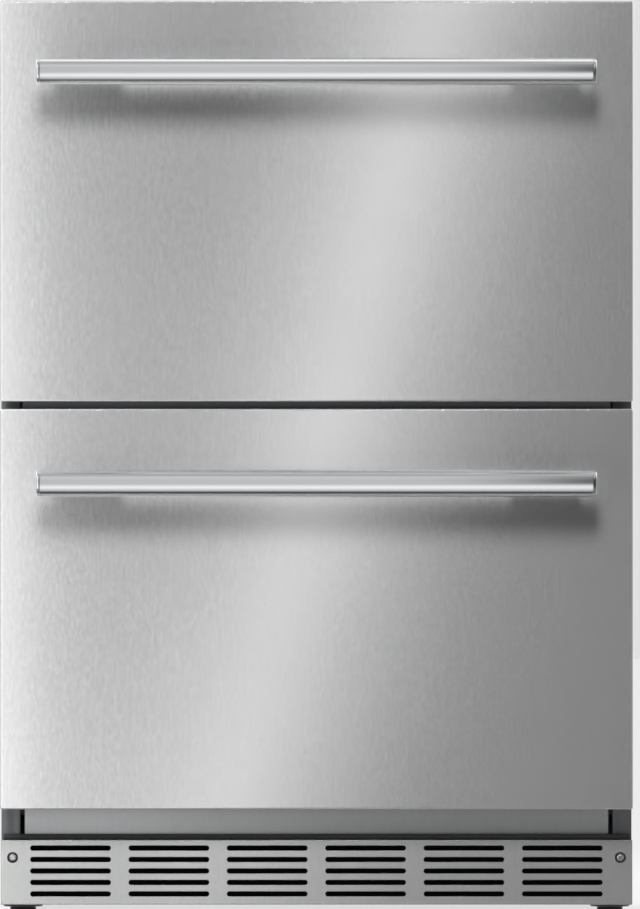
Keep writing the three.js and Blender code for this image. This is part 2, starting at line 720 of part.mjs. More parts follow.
// The hermetic compressor: two drawn halves with a seam, on a foot plate with round mounts.
function compressor() {
  const radius = COMPRESSOR_DEPTH / 2;
  const low = COMPRESSOR_PLATE_HEIGHT;
  const seam = low + COMPRESSOR_HEIGHT * 0.48;
  const high = low + COMPRESSOR_HEIGHT;
  const shell = turned(
    [
      [0, low - 4],
      [radius * 0.5, low - 2],
      [radius * 0.88, low + 16],
      [radius * 0.95, seam - 3],
      [radius, seam - 3],
      [radius, seam + 3],
      [radius * 0.94, seam + 3],
      [radius * 0.93, high - 46],
      [radius * 0.8, high - 19],
      [radius * 0.5, high - 4],
      [0, high],
    ],
    20,
  );
  const oval = shell.scale([COMPRESSOR_WIDTH / COMPRESSOR_DEPTH, 1, 1]);
  const plateX = COMPRESSOR_WIDTH * 0.5;
  const plateY = COMPRESSOR_DEPTH * 0.42;
  const plate = prism(rectangle(-plateX, plateX, -plateY, plateY, 14), "z", low - 5, low - 2);
  const mounts = [];
  for (const x of [-1, 1]) {
    for (const y of [-1, 1]) {
      mounts.push(rod("z", 9, SEAT, low - 1, x * (plateX - 14), y * (plateY - 14), 12));
    }
  }
  const relayX = COMPRESSOR_WIDTH * 0.42;
  const relay = block(-relayX, -relayX * 0.2, -radius - 16, -radius * 0.6, low + 40, low + 92);
  const port = rod("z", 4, high - 60, high - 4, radius * 0.66, radius * 0.6, 8);
  return joined(oval, plate, ...mounts, relay, port);
}

// A finned coil: flat fins across straight tubes that run along z, with a return bend at each end.
function finnedCoil(length, height, depth, fins, columns) {
  const tube = COIL_TUBE_DIAMETER / 2;
  const rowPitch = height / columns;
  const inset = depth / 4;
  const bendReach = rowPitch / 2;
  const finSpan = length - 2 * (bendReach + tube * 2);
  const pieces = [];
  for (let i = 0; i < fins; i++) {
    const at = -finSpan / 2 + (finSpan * i) / (fins - 1);
    const near = at - FIN_SHEET / 2;
    pieces.push(block(-depth / 2, depth / 2, -height / 2, height / 2, near, near + FIN_SHEET));
  }
  const straight = finSpan / 2 + tube * 2;
  for (const x of [-inset, inset]) {
    for (let i = 0; i < columns; i++) {
      const y = -height / 2 + rowPitch * (i + 0.5);
      pieces.push(rod("z", tube, -straight, straight, x, y, 6));
    }
    for (let i = 0; i + 1 < columns; i++) {
      const y = -height / 2 + rowPitch * (i + 1);
      const end = i % 2 === 0 ? 1 : -1;
      pieces.push(returnBend(x, y, end * straight, end, rowPitch / 2, tube));
    }
  }
  const y = -height / 2 + rowPitch * (columns - 0.5);
  const joinEnd = columns % 2 === 0 ? -straight : straight;
  const toEnd = joinEnd > 0 ? 1 : -1;
  pieces.push(rod("x", tube, -inset - tube, inset + tube, y, joinEnd - toEnd * tube, 6));
  return joined(...pieces);
}

// Half a turn of tube in the YZ plane, joining two straight tubes at z = end.
function returnBend(x, y, z, side, radius, tube) {
  const start = z - side;
  const turns = [0, 0.25, 0.5, 0.75, 1].map((share) => {
    const angle = Math.PI * share;
    const reach = side * radius * Math.sin(angle);
    return new THREE.Vector3(x, y - radius * Math.cos(angle), start + reach);
  });
  const curve = new THREE.CatmullRomCurve3(turns);
  const section = new THREE.Shape();
  section.absarc(0, 0, tube * 0.98, 0, Math.PI * 2);
  const options = { extrudePath: curve, steps: 4, curveSegments: 3 };
  return solidFrom(new THREE.ExtrudeGeometry(section, options));
}

// An axial fan rotor about +Z: a hub with a bore and pitched blades.
function fanRotor(diameter, hubLength, blades) {
  const tip = diameter / 2;
  const hub = FAN_HUB_DIAMETER / 2;
  const body = turned(
    [
      [0, 0],
      [hub, 0],
      [hub, hubLength - 3],
      [hub - 3, hubLength],
      [0, hubLength],
    ],
    18,
  );
  const span = tip - hub;
  const root = span * 0.42;
  const chord = span * 0.62;
  const planform = roundedOutline([
    { at: [hub - 3, -root / 2] },
    { at: [tip - 2, -chord / 2], radius: chord / 6 },
    { at: [tip - 2, chord / 2], radius: chord / 3 },
    { at: [hub - 3, root / 2] },
  ]);
  const options = { depth: FAN_BLADE_SHEET, bevelEnabled: false, curveSegments: 2 };
  const parts = [body];
  for (let i = 0; i < blades; i++) {
    const blade = new THREE.ExtrudeGeometry(planform, options);
    blade.translate(0, 0, -FAN_BLADE_SHEET / 2);
    blade.rotateX(FAN_BLADE_PITCH);
    blade.translate(0, 0, hubLength / 2);
    blade.rotateZ(((i + 0.25) / blades) * Math.PI * 2);
    parts.push(solidFrom(blade));
  }
  const bore = rod("z", FAN_SHAFT_DIAMETER / 2 + SEAT, -1, hubLength * 0.7, 0, 0, 16);
  return joined(...parts).subtract(bore);
}

// The square shroud of the bay fan, about +Z: a plate, a ring round the blades, and the motor on arms.
function fanShroud() {
  const half = SHROUD_SIZE / 2;
  const open = BAY_FAN_DIAMETER / 2 + FAN_TIP_CLEARANCE;
  const plate = prism(rectangle(-half, half, -half, half, 8), "z", 0, SHROUD_SHEET, 2);
  const band = rod("z", open + SHROUD_SHEET, 0.5, SHROUD_RING, 0, 0, 24);
  const hole = rod("z", open, -1, SHROUD_RING + 1, 0, 0, 24);
  const motorTop = -SEAT;
  const motor = rod("z", MOTOR_DIAMETER / 2, motorTop - MOTOR_LENGTH, motorTop, 0, 0, 20);
  const shaft = rod("z", FAN_SHAFT_DIAMETER / 2, motorTop - 1, FAN_HUB_LENGTH * 0.6, 0, 0, 12);
  const root = open + 1;
  const reach = root + MOTOR_ARM_WIDTH / 2;
  const armBack = motorTop - MOTOR_ARM_DEPTH - 1;
  const armFront = motorTop - 1;
  const armShape = roundedOutline([
    { at: [-reach, armBack] },
    { at: [reach, armBack] },
    { at: [reach, SHROUD_SHEET / 2] },
    { at: [root, SHROUD_SHEET / 2] },
    { at: [root, armFront] },
    { at: [-root, armFront] },
    { at: [-root, SHROUD_SHEET / 2] },
    { at: [-reach, SHROUD_SHEET / 2] },
  ]);
  const arm = prism(armShape, "y", -MOTOR_ARM_WIDTH / 2, MOTOR_ARM_WIDTH / 2);
  const ringed = plate.add(band).subtract(hole);
  return joined(ringed, motor, shaft, arm, arm.rotate([0, 0, 90]));
}

// The tray over the compressor that catches the defrost water.
function dripTray() {
  const x = TRAY_LENGTH / 2;
  const y = TRAY_WIDTH / 2;
  const outer = prism(rectangle(-x, x, -y, y, 12), "z", 0, TRAY_DEPTH, 2);
  const inner = prism(
    rectangle(-x + TRAY_SHEET, x - TRAY_SHEET, -y + TRAY_SHEET, y - TRAY_SHEET, 12 - TRAY_SHEET),
    "z",
    TRAY_SHEET,
    TRAY_DEPTH + 1,
    2,
  );
  return outer.subtract(inner);
}

// The steel cover over the back of the machine bay, with slots for the warm air.
function rearCover() {
  const half = cabinetHalf - REAR_FLANGE / 4;
  const low = REAR_COVER_BOTTOM;
  const high = bayCeiling - REAR_COVER_GAP;
  const cuts = [];
  const fieldCentre = (low + high) / 2;
  const behind = CABINET_DEPTH + 1;
  const pitch = (2 * (half - REAR_SLOT_MARGIN) + REAR_SLOT_BRIDGE) / REAR_SLOT_COLUMNS;
  for (let column = 0; column < REAR_SLOT_COLUMNS; column++) {
    for (let row = 0; row < REAR_SLOT_ROWS; row++) {
      const x = (column - (REAR_SLOT_COLUMNS - 1) / 2) * pitch;
      const z = fieldCentre + (row - (REAR_SLOT_ROWS - 1) / 2) * REAR_SLOT_PITCH;
      const slot = slotPath(x, z, pitch - REAR_SLOT_BRIDGE, REAR_SLOT_HEIGHT);
      cuts.push(prism(slot, "y", backPanelFront - 1, behind, 2));
    }
  }
  const w = INLET_WIDTH / 2 + SEAT;
  const h = INLET_HEIGHT / 2 + SEAT;
  cuts.push(block(inletX - w, inletX + w, backPanelFront - 1, behind, inletZ - h, inletZ + h));
  return block(-half, half, backPanelFront, CABINET_DEPTH, low, high).subtract(joined(...cuts));
}

// The power inlet: a flanged housing with a hollow and three flat pins, facing +Y.
function powerInlet() {
  const w = INLET_WIDTH / 2;
  const h = INLET_HEIGHT / 2;
  const lip = 4;
  const flangeSheet = REAR_RIB - SEAT;
  const front = CABINET_DEPTH + REAR_RIB;
  const body = block(-w, w, CABINET_DEPTH - INLET_DEPTH, front, -h, h);
  const flange = block(-w - lip, w + lip, front - flangeSheet, front, -h - lip, h + lip);
  const wall = 2;
  const hollow = prism(
    roundedOutline([
      { at: [-w + wall, -h + wall] },
      { at: [w - wall, -h + wall] },
      { at: [w - wall, h - wall - 4] },
      { at: [w - wall - 4, h - wall] },
      { at: [-w + wall + 4, h - wall] },
      { at: [-w + wall, h - wall - 4] },
    ]),
    "y",
    CABINET_DEPTH - INLET_DEPTH + 6,
    front + 1,
  );
  const pins = [
    [-7, -2],
    [0, 2],
    [7, -2],
  ].map(([x, z]) => block(x - 1, x + 1, CABINET_DEPTH - INLET_DEPTH + 4, CABINET_DEPTH - 5, z - 2, z + 2));
  return joined(body.add(flange).subtract(hollow), ...pins);
}

// ---------------------------------------------------------------------------------------------
// Cold side
// ---------------------------------------------------------------------------------------------

// The panel in front of the evaporator: a pan, open at its foot, with slots below and the fan's mouth above.
function evaporatorCover() {
  const back = cavityBack - SEAT;
  const x = coverHalf;
  const outer = block(-x, x, coverFront, back, coverBottom, coverTop);
  const inner = block(
    -x + COVER_SHEET,
    x - COVER_SHEET,
    coverFront + COVER_SHEET,
    back + 1,
    coverBottom - 1,
    coverTop - COVER_SHEET,
  );
  const cuts = [];
  for (let row = 0; row < COVER_SLOT_ROWS; row++) {
    const z = coverBottom + COVER_SLOT_RISE + row * COVER_SLOT_PITCH;
    const slot = slotPath(0, z, COVER_SLOT_LENGTH, COVER_SLOT_HEIGHT);
    cuts.push(prism(slot, "y", coverFront - 1, coverFront + COVER_SHEET + 1, 2));
  }
  const mouth = COLD_FAN_DIAMETER / 2 + FAN_TIP_CLEARANCE;
  const inside = coverFront + COVER_SHEET;
  cuts.push(rod("y", mouth, coverFront - 1, inside + 1, 0, coverFanHeight, 24));
  const shell = outer.subtract(inner).subtract(joined(...cuts));
  const motorFront = inside + FAN_TIP_CLEARANCE + COLD_FAN_HUB_LENGTH + SEAT;
  const motorBack = motorFront + COLD_MOTOR_LENGTH;
  const shaftFront = motorFront - COLD_FAN_HUB_LENGTH * 0.6;
  const z = coverFanHeight;
  const motor = rod("y", MOTOR_DIAMETER / 2, motorFront, motorBack, 0, z, 20);
  const shaft = rod("y", FAN_SHAFT_DIAMETER / 2, shaftFront, motorFront + 1, 0, z, 12);
  const armFront = motorFront + 4;
  const armBack = armFront + MOTOR_ARM_DEPTH;
  const armRoot = mouth + MOTOR_ARM_WIDTH / 2;
  const armReach = armRoot + MOTOR_ARM_DEPTH;
  const foot = inside - COVER_SHEET / 2;
  const armShape = roundedOutline([
    { at: [-armReach, foot] },
    { at: [-armRoot, foot] },
    { at: [-armRoot, armFront] },
    { at: [armRoot, armFront] },
    { at: [armRoot, foot] },
    { at: [armReach, foot] },
    { at: [armReach, armBack] },
    { at: [-armReach, armBack] },
  ]);
  const arm = prism(armShape, "z", z - MOTOR_ARM_WIDTH / 2, z + MOTOR_ARM_WIDTH / 2);
  return joined(shell, motor, shaft, arm);
}

// The control box under the ceiling: its fascia has a display window and two button holes.
function controlHousing() {
  const x = CONTROL_WIDTH / 2;
  const high = CAVITY_CEILING - SEAT;
  const low = high - CONTROL_HEIGHT;
  const front = CONTROL_FRONT;
  const back = front + CONTROL_DEPTH;
  const outline = roundedOutline([
    { at: [front, low + 6] },
    { at: [front + 6, low] },
    { at: [back, low], radius: 4 },
    { at: [back, high] },
    { at: [front, high] },
  ]);
  const centre = high - CONTROL_HEIGHT / 2 + 2;
  const cuts = [
    block(
      -x + CONTROL_SHELL,
      x - CONTROL_SHELL,
      front + CONTROL_SHELL,
      back - CONTROL_SHELL,
      low + CONTROL_SHELL + 4,
      high + 1,
    ),
    block(
      WINDOW_X - WINDOW_WIDTH / 2,
      WINDOW_X + WINDOW_WIDTH / 2,
      front - 1,
      front + 1,
      centre - WINDOW_HEIGHT / 2,
      centre + WINDOW_HEIGHT / 2,
    ),
  ];
  const w = BUTTON_WIDTH / 2 + BUTTON_CLEARANCE;
  const h = BUTTON_HEIGHT / 2 + BUTTON_CLEARANCE;
  for (const side of [-1, 1]) {
    const at = BUTTON_CENTRE_X + (side * BUTTON_SPACING) / 2;
    cuts.push(block(at - w, at + w, front - 1, front + CONTROL_SHELL + 1, centre - h, centre + h));
  }
  return prism(outline, "x", -x, x).subtract(joined(...cuts));
}

// A push button with a flange behind the fascia, facing -Y.
function pushButton() {
  const w = BUTTON_WIDTH / 2;
  const h = BUTTON_HEIGHT / 2;
  const cap = prism(rectangle(-w, w, -h, h, 2), "y", -BUTTON_PROUD, BUTTON_LENGTH, 1);
  const flangeFront = CONTROL_SHELL + SEAT;
  const flange = block(-w - 1.5, w + 1.5, flangeFront, flangeFront + 1.5, -h - 1.5, h + 1.5);
  return cap.add(flange);
}

// The lamp lens under the ceiling: a shallow diffuser with sloping sides.
function lampLens() {
  const half = LAMP_WIDTH / 2;
  const outline = roundedOutline([
    { at: [-half, 0] },
    { at: [-half + 4, -LAMP_HEIGHT], radius: 2 },
    { at: [half - 4, -LAMP_HEIGHT], radius: 2 },
    { at: [half, 0] },
  ]);
  return prism(outline, "x", -LAMP_LENGTH / 2, LAMP_LENGTH / 2);
}

// ---------------------------------------------------------------------------------------------
// Slides
// ---------------------------------------------------------------------------------------------

// The section of a slide member: a web on the -u side, and a round track at its top and bottom.
function trackShape(radius, lipAngle) {
  const rise = SLIDE_HEIGHT / 2 - SLIDE_TRACK_RADIUS - SLIDE_SHEET / 2;
  const outer = radius + SLIDE_SHEET / 2;
  const inner = radius - SLIDE_SHEET / 2;
  const shape = new THREE.Shape();
  shape.absarc(0, -rise, outer, -lipAngle, -Math.PI, true);
  shape.absarc(0, rise, outer, Math.PI, lipAngle, true);
  shape.absarc(0, rise, inner, lipAngle, Math.PI, false);
  shape.absarc(0, -rise, inner, -Math.PI, -lipAngle, false);
  return shape;
}

// A slide member along y, centred on its track's axis. Its web is on the +X side.
function slideMember(radius, lipAngle) {
  const half = SLIDE_LENGTH / 2;
  return prism(trackShape(radius, lipAngle), "y", -half, half, 3).rotate([0, 0, 180]);
}

function addSlides(group, prefix, centreZ) {
  const members = {
    cabinet: { solid: slideMember(SLIDE_TRACK_RADIUS, SLIDE_LIP_ANGLE), facing: 0 },
    middle: { solid: slideMember(slideMiddleRadius, SLIDE_LIP_ANGLE), facing: 0 },
    drawer: { solid: slideMember(slideInnerRadius, SLIDE_LIP_ANGLE / 2), facing: Math.PI },
  };
  const x = cavityHalf - SEAT - slideAxisFromWall;
  const y = SLIDE_FRONT + SLIDE_LENGTH / 2;
  for (const [member, { solid, facing }] of Object.entries(members)) {
    const name = `${prefix}_slide_${member}`;
    place(group, `${name}_right`, solid, "zinc", [x, y, centreZ], [0, 0, facing]);
    place(group, `${name}_left`, solid, "zinc", [-x, y, centreZ], [0, 0, facing + Math.PI]);
  }
}

// ---------------------------------------------------------------------------------------------
// Drawers. Each is built with z = 0 at the foot of its front.
// ---------------------------------------------------------------------------------------------

// The steel skin of a drawer front: a pan with softly rounded front edges.
function frontSkin() {
  const bevel = FRONT_EDGE_RADIUS;
  const back = frontBack - CORE_PLATE - SEAT;
  const outline = rectangle(-halfWidth + bevel, halfWidth - bevel, bevel, FRONT_HEIGHT - bevel);
  const pan = new THREE.ExtrudeGeometry(outline, {
    depth: FRONT_THICKNESS,
    bevelSize: bevel,
    bevelThickness: bevel,
    bevelSegments: 3,
  });
  pan.applyMatrix4(ALONG.y).translate(0, frontFace + bevel + FRONT_THICKNESS, 0);
  const behind = block(-OVERALL_WIDTH, OVERALL_WIDTH, back, back + OVERALL_WIDTH, -1, FRONT_HEIGHT + 1);
  const inside = block(
    -halfWidth + SKIN_SHEET,
    halfWidth - SKIN_SHEET,
    frontFace + SKIN_SHEET,
    back + 1,
    SKIN_SHEET,
    FRONT_HEIGHT - SKIN_SHEET,
  );
  return solidFrom(pan).subtract(behind).subtract(inside);
}

// The gasket's place on a front, as the rectangle of its outer edge.
function gasketRectangle() {
  return [-halfWidth + GASKET_INSET, halfWidth - GASKET_INSET, GASKET_INSET, FRONT_HEIGHT - GASKET_INSET];
}

// The rectangle of a gasket layer of a given width, centred in the gasket's own width.
function gasketLayer(width, y0, y1) {
  const [x0, x1, z0, z1] = gasketRectangle();
  const inset = (GASKET_WIDTH - width) / 2;
  return ring(x0 + inset, x1 - inset, z0 + inset, z1 - inset, width, y0, y1);
}

// The insulated core of a front, with its rear plate, the gasket's groove, and a raised plug.
function frontCore(plugLow, plugHigh) {
  const fill = SKIN_SHEET + SEAT;
  const plateFront = frontBack - CORE_PLATE;
  const core = block(
    -halfWidth + fill,
    halfWidth - fill,
    frontFace + fill,
    plateFront + 1,
    fill,
    FRONT_HEIGHT - fill,
  );
  const plate = block(-halfWidth + 1, halfWidth - 1, plateFront, frontBack, 1, FRONT_HEIGHT - 1);
  const plugHalf = cavityHalf - PLUG_CLEARANCE;
  const plug = block(-plugHalf, plugHalf, frontBack - 1, plugBack, plugLow, plugHigh);
  const groove = gasketLayer(GASKET_DART + 2 * SEAT, frontBack - GASKET_DART_DEPTH - SEAT, frontBack + 1);
  return joined(core, plate, plug).subtract(groove);
}

// The magnetic gasket: a dart in the groove, a foot, a narrow neck and the magnet's sleeve.
function frontGasket() {
  const seated = frontBack + SEAT;
  const face = -SEAT;
  const neck = gasketLayer(GASKET_NECK, seated, face);
  const foot = gasketLayer(GASKET_WIDTH * 0.8, seated, seated + 1.4);
  const sleeve = gasketLayer(GASKET_WIDTH, face - GASKET_MAGNET, face);
  const dart = gasketLayer(GASKET_DART, frontBack - GASKET_DART_DEPTH, seated + 1);
  return joined(neck, foot, sleeve, dart);
}

// The tube of a handle, along x.
function handleBar() {
  const half = barLength / 2;
  const tube = rod("x", barRadius, -half, half, 0, 0, 40);
  return tube.subtract(rod("x", barRadius - BAR_WALL, -half - 1, half + 1, 0, 0, 24));
}

// The cap on the right end of a handle, along x from the end of the tube, with a spigot inside it.
function handleCap() {
  const radius = barRadius - 0.2;
  const spigot = barRadius - BAR_WALL - SEAT;
  const end = CAP_THICKNESS;
  const profile = [
    [0, -CAP_SPIGOT],
    [spigot, -CAP_SPIGOT],
    [spigot, 0],
    [radius, 0],
    [radius, end - CAP_ROUNDING],
    [radius - CAP_ROUNDING * 0.3, end - CAP_ROUNDING * 0.3],
    [radius - CAP_ROUNDING, end],
    [0, end],
  ];
  return turned(profile, 20).rotate([0, 90, 0]);
}

// A post between a front and the tube, saddled to the tube.
function handlePost() {
  const shape = slotPath(0, 0, POST_WIDTH, POST_HEIGHT);
  const post = prism(shape, "y", barAxisY + barRadius - POST_BITE, frontFace - SEAT, 5);
  return post.subtract(rod("x", barRadius + SEAT, -POST_WIDTH, POST_WIDTH, barAxisY, 0, 40));
}

// A rounded tub from z = low up, open at the top where it is cut off at high.
function tubBlock(x, y0, y1, low, high, corner, foot) {
  const outline = rectangle(-x + foot, x - foot, y0 + foot, y1 - foot, Math.max(corner - foot, 1));
  const tub = new THREE.ExtrudeGeometry(outline, {
    depth: high - low,
    bevelSize: foot,
    bevelThickness: foot,
    bevelSegments: 2,
    curveSegments: 2,
  });
  tub.translate(0, 0, low + foot);
  const above = block(-OVERALL_WIDTH, OVERALL_WIDTH, y0 - 1, y1 + 1, high, high + FRONT_HEIGHT);
  return solidFrom(tub).subtract(above);
}

// The walls of a bin: a tub, with a second tub hanging under its front half where it is stepped.
function binBody(low, high, step, wall) {
  const x = binHalf - wall;
  const y0 = binFront + wall;
  const y1 = binBack - wall;
  const corner = BIN_CORNER - wall;
  const foot = BIN_FOOT_ROUNDING - wall;
  const top = wall > 0 ? high + 1 : high;
  if (!step) return tubBlock(x, y0, y1, low + wall, top, corner, foot);
  const deep = tubBlock(x, y0, step.back - wall, low + wall, top, corner, foot);
  const shallow = tubBlock(x, y0, y1, step.low + wall, top, corner, foot);
  return deep.add(shallow);
}

// A moulded bin with a rim that is turned out.
function drawerBin(low, high, step) {
  const reach = BIN_RIM_REACH;
  const rimShape = rectangle(-binHalf - reach, binHalf + reach, binFront, binBack + reach, BIN_CORNER);
  const rim = prism(rimShape, "z", high - BIN_RIM_HEIGHT, high, 2);
  const whole = binBody(low, high, step, 0).add(rim);
  return whole.subtract(binBody(low, high, step, BIN_WALL));
}

function addDrawer({ name, frontBottom, handleDrop, binLow, binHigh, step, openLow, openHigh }) {
  const group = new THREE.Group();
  group.position.z = frontBottom;
  appliance.add(group);
  const at = (z) => z - frontBottom;
  place(group, `${name}_front_skin`, frontSkin(), "brushedSteel");
  place(
    group,
    `${name}_front_core`,
    frontCore(at(openLow + PLUG_CLEARANCE), at(openHigh - PLUG_CLEARANCE)),
    "linerPlastic",
  );
  place(group, `${name}_gasket`, frontGasket(), "sealRubber");

  const handleZ = FRONT_HEIGHT - handleDrop;
  const handle = new THREE.Group();
  handle.position.z = handleZ;
  group.add(handle);
  place(handle, `${name}_handle_bar`, handleBar(), "satinBar", [0, barAxisY, 0]);
  const capX = barLength / 2 + SEAT;
  place(handle, `${name}_handle_cap_right`, handleCap(), "chrome", [capX, barAxisY, 0]);
  place(handle, `${name}_handle_cap_left`, handleCap(), "chrome", [-capX, barAxisY, 0], [0, 0, Math.PI]);
  place(handle, `${name}_handle_post_right`, handlePost(), "satinBar", [postX, 0, 0]);
  place(handle, `${name}_handle_post_left`, handlePost(), "satinBar", [-postX, 0, 0]);

  const stepHere = step && { back: step.back, low: at(step.low) };
  place(group, `${name}_bin`, drawerBin(at(binLow), at(binHigh), stepHere), "binPlastic");
  addSlides(group, name, at(binHigh - SLIDE_BELOW_RIM));
}

// ---------------------------------------------------------------------------------------------
// Assembly
// ---------------------------------------------------------------------------------------------
function addCabinet() {
  place(cabinet, "outer_wrapper", outerWrapper(), "darkPaint");
  place(cabinet, "back_panel", backPanel(), "zinc");
  place(cabinet, "bottom_panel", bottomPanel(), "zinc");
  place(cabinet, "foam_body", foamBody(), "foam");
  place(cabinet, "inner_liner", innerLiner(), "linerPlastic");
  place(cabinet, "breaker_frame", breakerFrame(), "blackPlastic");
  place(cabinet, "centre_mullion", centreMullion(), "darkPaint");
  place(cabinet, "bottom_rail", bottomRail(), "railSteel");
  place(cabinet, "base_pan", basePan(), "blackPaint");
  place(cabinet, "toe_grille", toeGrille(), "brushedSteel");
  const screwY = -GRILLE_PROUD - SEAT;
  for (const [side, sign] of Object.entries({ left: -1, right: 1 })) {
    const position = [sign * grilleScrewX, screwY, GRILLE_SCREW_HEIGHT];
    place(cabinet, `grille_screw_${side}`, grilleScrew(), "chrome", position, [-Math.PI / 2, 0, 0]);
  }
  for (const [name, [x, y]] of Object.entries(legPlaces())) {
    place(cabinet, name, levellingLeg(), "blackPlastic", [x, y, 0]);
  }
}

function addMachineBay() {
  place(machineBay, "compressor", compressor(), "blackPaint", [compressorX, bayPartsY, baseFloor]);
  const trayZ = baseFloor + COMPRESSOR_PLATE_HEIGHT + COMPRESSOR_HEIGHT + SEAT;
  place(machineBay, "drip_tray", dripTray(), "blackPlastic", [compressorX, bayPartsY, trayZ]);
  const condenser = finnedCoil(
    CONDENSER_LENGTH,
    CONDENSER_HEIGHT,
    CONDENSER_DEPTH,
    CONDENSER_FINS,
    CONDENSER_PASSES,
  );
  const condenserZ = baseFloor + SEAT + CONDENSER_HEIGHT / 2;
  const condenserAt = [condenserX, bayPartsY, condenserZ];
  place(machineBay, "condenser_coil", condenser, "copper", condenserAt, [Math.PI / 2, 0, 0]);
  const axis = [shroudX, bayPartsY, bayFanHeight];
  const facing = [0, -Math.PI / 2, 0];
  const rotor = fanRotor(BAY_FAN_DIAMETER, FAN_HUB_LENGTH, 5);
  place(machineBay, "condenser_fan_shroud", fanShroud(), "blackPlastic", axis, facing);
  place(machineBay, "condenser_fan", rotor, "blackPlastic", axis, facing);
  place(machineBay, "rear_cover", rearCover(), "zinc");
  place(machineBay, "power_inlet", powerInlet(), "blackPlastic", [inletX, 0, inletZ]);
}

function addColdSide() {
  place(cabinet, "evaporator_cover", evaporatorCover(), "linerPlastic");
  const fanY = coverFront + COVER_SHEET + FAN_TIP_CLEARANCE + COLD_FAN_HUB_LENGTH;
  const fan = fanRotor(COLD_FAN_DIAMETER, COLD_FAN_HUB_LENGTH, 5);
  place(cabinet, "evaporator_fan", fan, "blackPlastic", [0, fanY, coverFanHeight], [Math.PI / 2, 0, 0]);
  const coil = finnedCoil(
    EVAPORATOR_LENGTH,
    EVAPORATOR_HEIGHT,
    EVAPORATOR_DEPTH,
    EVAPORATOR_FINS,
    EVAPORATOR_PASSES,
  );
  const coilY = cavityBack - SEAT - EVAPORATOR_DEPTH / 2;
  const coilZ = coverBottom + EVAPORATOR_RISE + EVAPORATOR_HEIGHT / 2;
  place(cabinet, "evaporator_coil", coil, "zinc", [0, coilY, coilZ], [Math.PI / 2, Math.PI / 2, 0]);
  place(cabinet, "control_housing", controlHousing(), "blackPlastic");
  const buttonZ = CAVITY_CEILING - SEAT - CONTROL_HEIGHT / 2 + 2;
  for (const [name, sign] of Object.entries({ button_colder: -1, button_warmer: 1 })) {
    const x = BUTTON_CENTRE_X + (sign * BUTTON_SPACING) / 2;
    place(cabinet, name, pushButton(), "binPlastic", [x, CONTROL_FRONT, buttonZ]);
  }
  place(cabinet, "lamp_lens", lampLens(), "lens", [0, LAMP_Y, CAVITY_CEILING - SEAT]);
}

addCabinet();
addMachineBay();
addColdSide();
addDrawer({
  name: "upper",
  frontBottom: upperFrontBottom,
  handleDrop: UPPER_HANDLE_DROP,
  binLow: upperBinBottom,
  binHigh: upperBinTop,
  step: null,
  openLow: mullionTop,
  openHigh: CAVITY_CEILING,
});
addDrawer({
  name: "lower",
  frontBottom: lowerFrontBottom,
  handleDrop: LOWER_HANDLE_DROP,
  binLow: lowerBinBottom,
  binHigh: lowerBinTop,
  step: { back: HUMP_FRONT - STEP_CLEARANCE, low: HUMP_TOP + STEP_CLEARANCE },
  openLow: CAVITY_FLOOR,
  openHigh: mullionBottom,
});

export default appliance;
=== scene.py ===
import json
import logging
import math
from dataclasses import dataclass
from enum import Enum
from typing import Callable, Iterable, Iterator, Sequence

import bmesh
import bpy
from mathutils import Matrix, Vector

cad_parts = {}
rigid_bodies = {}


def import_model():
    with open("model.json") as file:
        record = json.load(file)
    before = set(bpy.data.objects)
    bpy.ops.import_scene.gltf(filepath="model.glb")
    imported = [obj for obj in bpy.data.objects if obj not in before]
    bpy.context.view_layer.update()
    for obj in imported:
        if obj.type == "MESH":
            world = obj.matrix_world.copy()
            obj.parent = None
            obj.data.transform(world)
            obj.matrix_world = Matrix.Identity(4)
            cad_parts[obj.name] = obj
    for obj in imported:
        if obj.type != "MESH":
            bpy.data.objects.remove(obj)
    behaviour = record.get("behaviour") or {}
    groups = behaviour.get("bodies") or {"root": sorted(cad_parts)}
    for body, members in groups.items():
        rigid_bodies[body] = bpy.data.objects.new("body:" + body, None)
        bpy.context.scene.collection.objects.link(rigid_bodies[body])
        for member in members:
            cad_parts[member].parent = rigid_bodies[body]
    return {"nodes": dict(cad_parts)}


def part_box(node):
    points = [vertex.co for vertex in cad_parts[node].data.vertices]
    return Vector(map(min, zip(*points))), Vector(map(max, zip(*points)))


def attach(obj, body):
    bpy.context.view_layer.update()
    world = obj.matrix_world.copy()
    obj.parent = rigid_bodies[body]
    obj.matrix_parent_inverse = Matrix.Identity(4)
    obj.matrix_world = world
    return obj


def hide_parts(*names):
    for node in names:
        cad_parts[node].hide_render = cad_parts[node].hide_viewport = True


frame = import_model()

log = logging.getLogger("refrigerator")

Point2 = tuple[float, float]
Point3 = tuple[float, float, float]
Colour = Point3
Socket = bpy.types.NodeSocket
Node = bpy.types.Node
Object = bpy.types.Object
Mesh = bmesh.types.BMesh
Loop = list[Vector]

MM = 0.001
ORIGIN = Vector((0, 0, 0))
DRAWERS = ("upper", "lower")
SIDES = ("left", "right")
SLOT_OF_NODE = {name: node.data.materials[0].name.split(".")[0] for name, node in frame["nodes"].items()}
EASED_PAST = 30  # degrees between two faces above which their shared edge is eased
EASING_STEPS = 2  # the stretches of an eased edge
SHARP = 38  # degrees between two faces above which their shared edge is shaded sharp
SHARP_ON_SHEET = 50  # the same on pressed sheet, whose edges are rolled
SHARP_ON_COILS = 60  # the same on round tube and fins
RECESS_HALF = 1.9 * MM  # half the reach of a screw head's cross
RECESS_ARM = 0.5 * MM  # half the width of the cross's arms


class Axis(Enum):
    """The direction a turned or brushed piece runs in."""

    X = 0
    Y = 1
    Z = 2


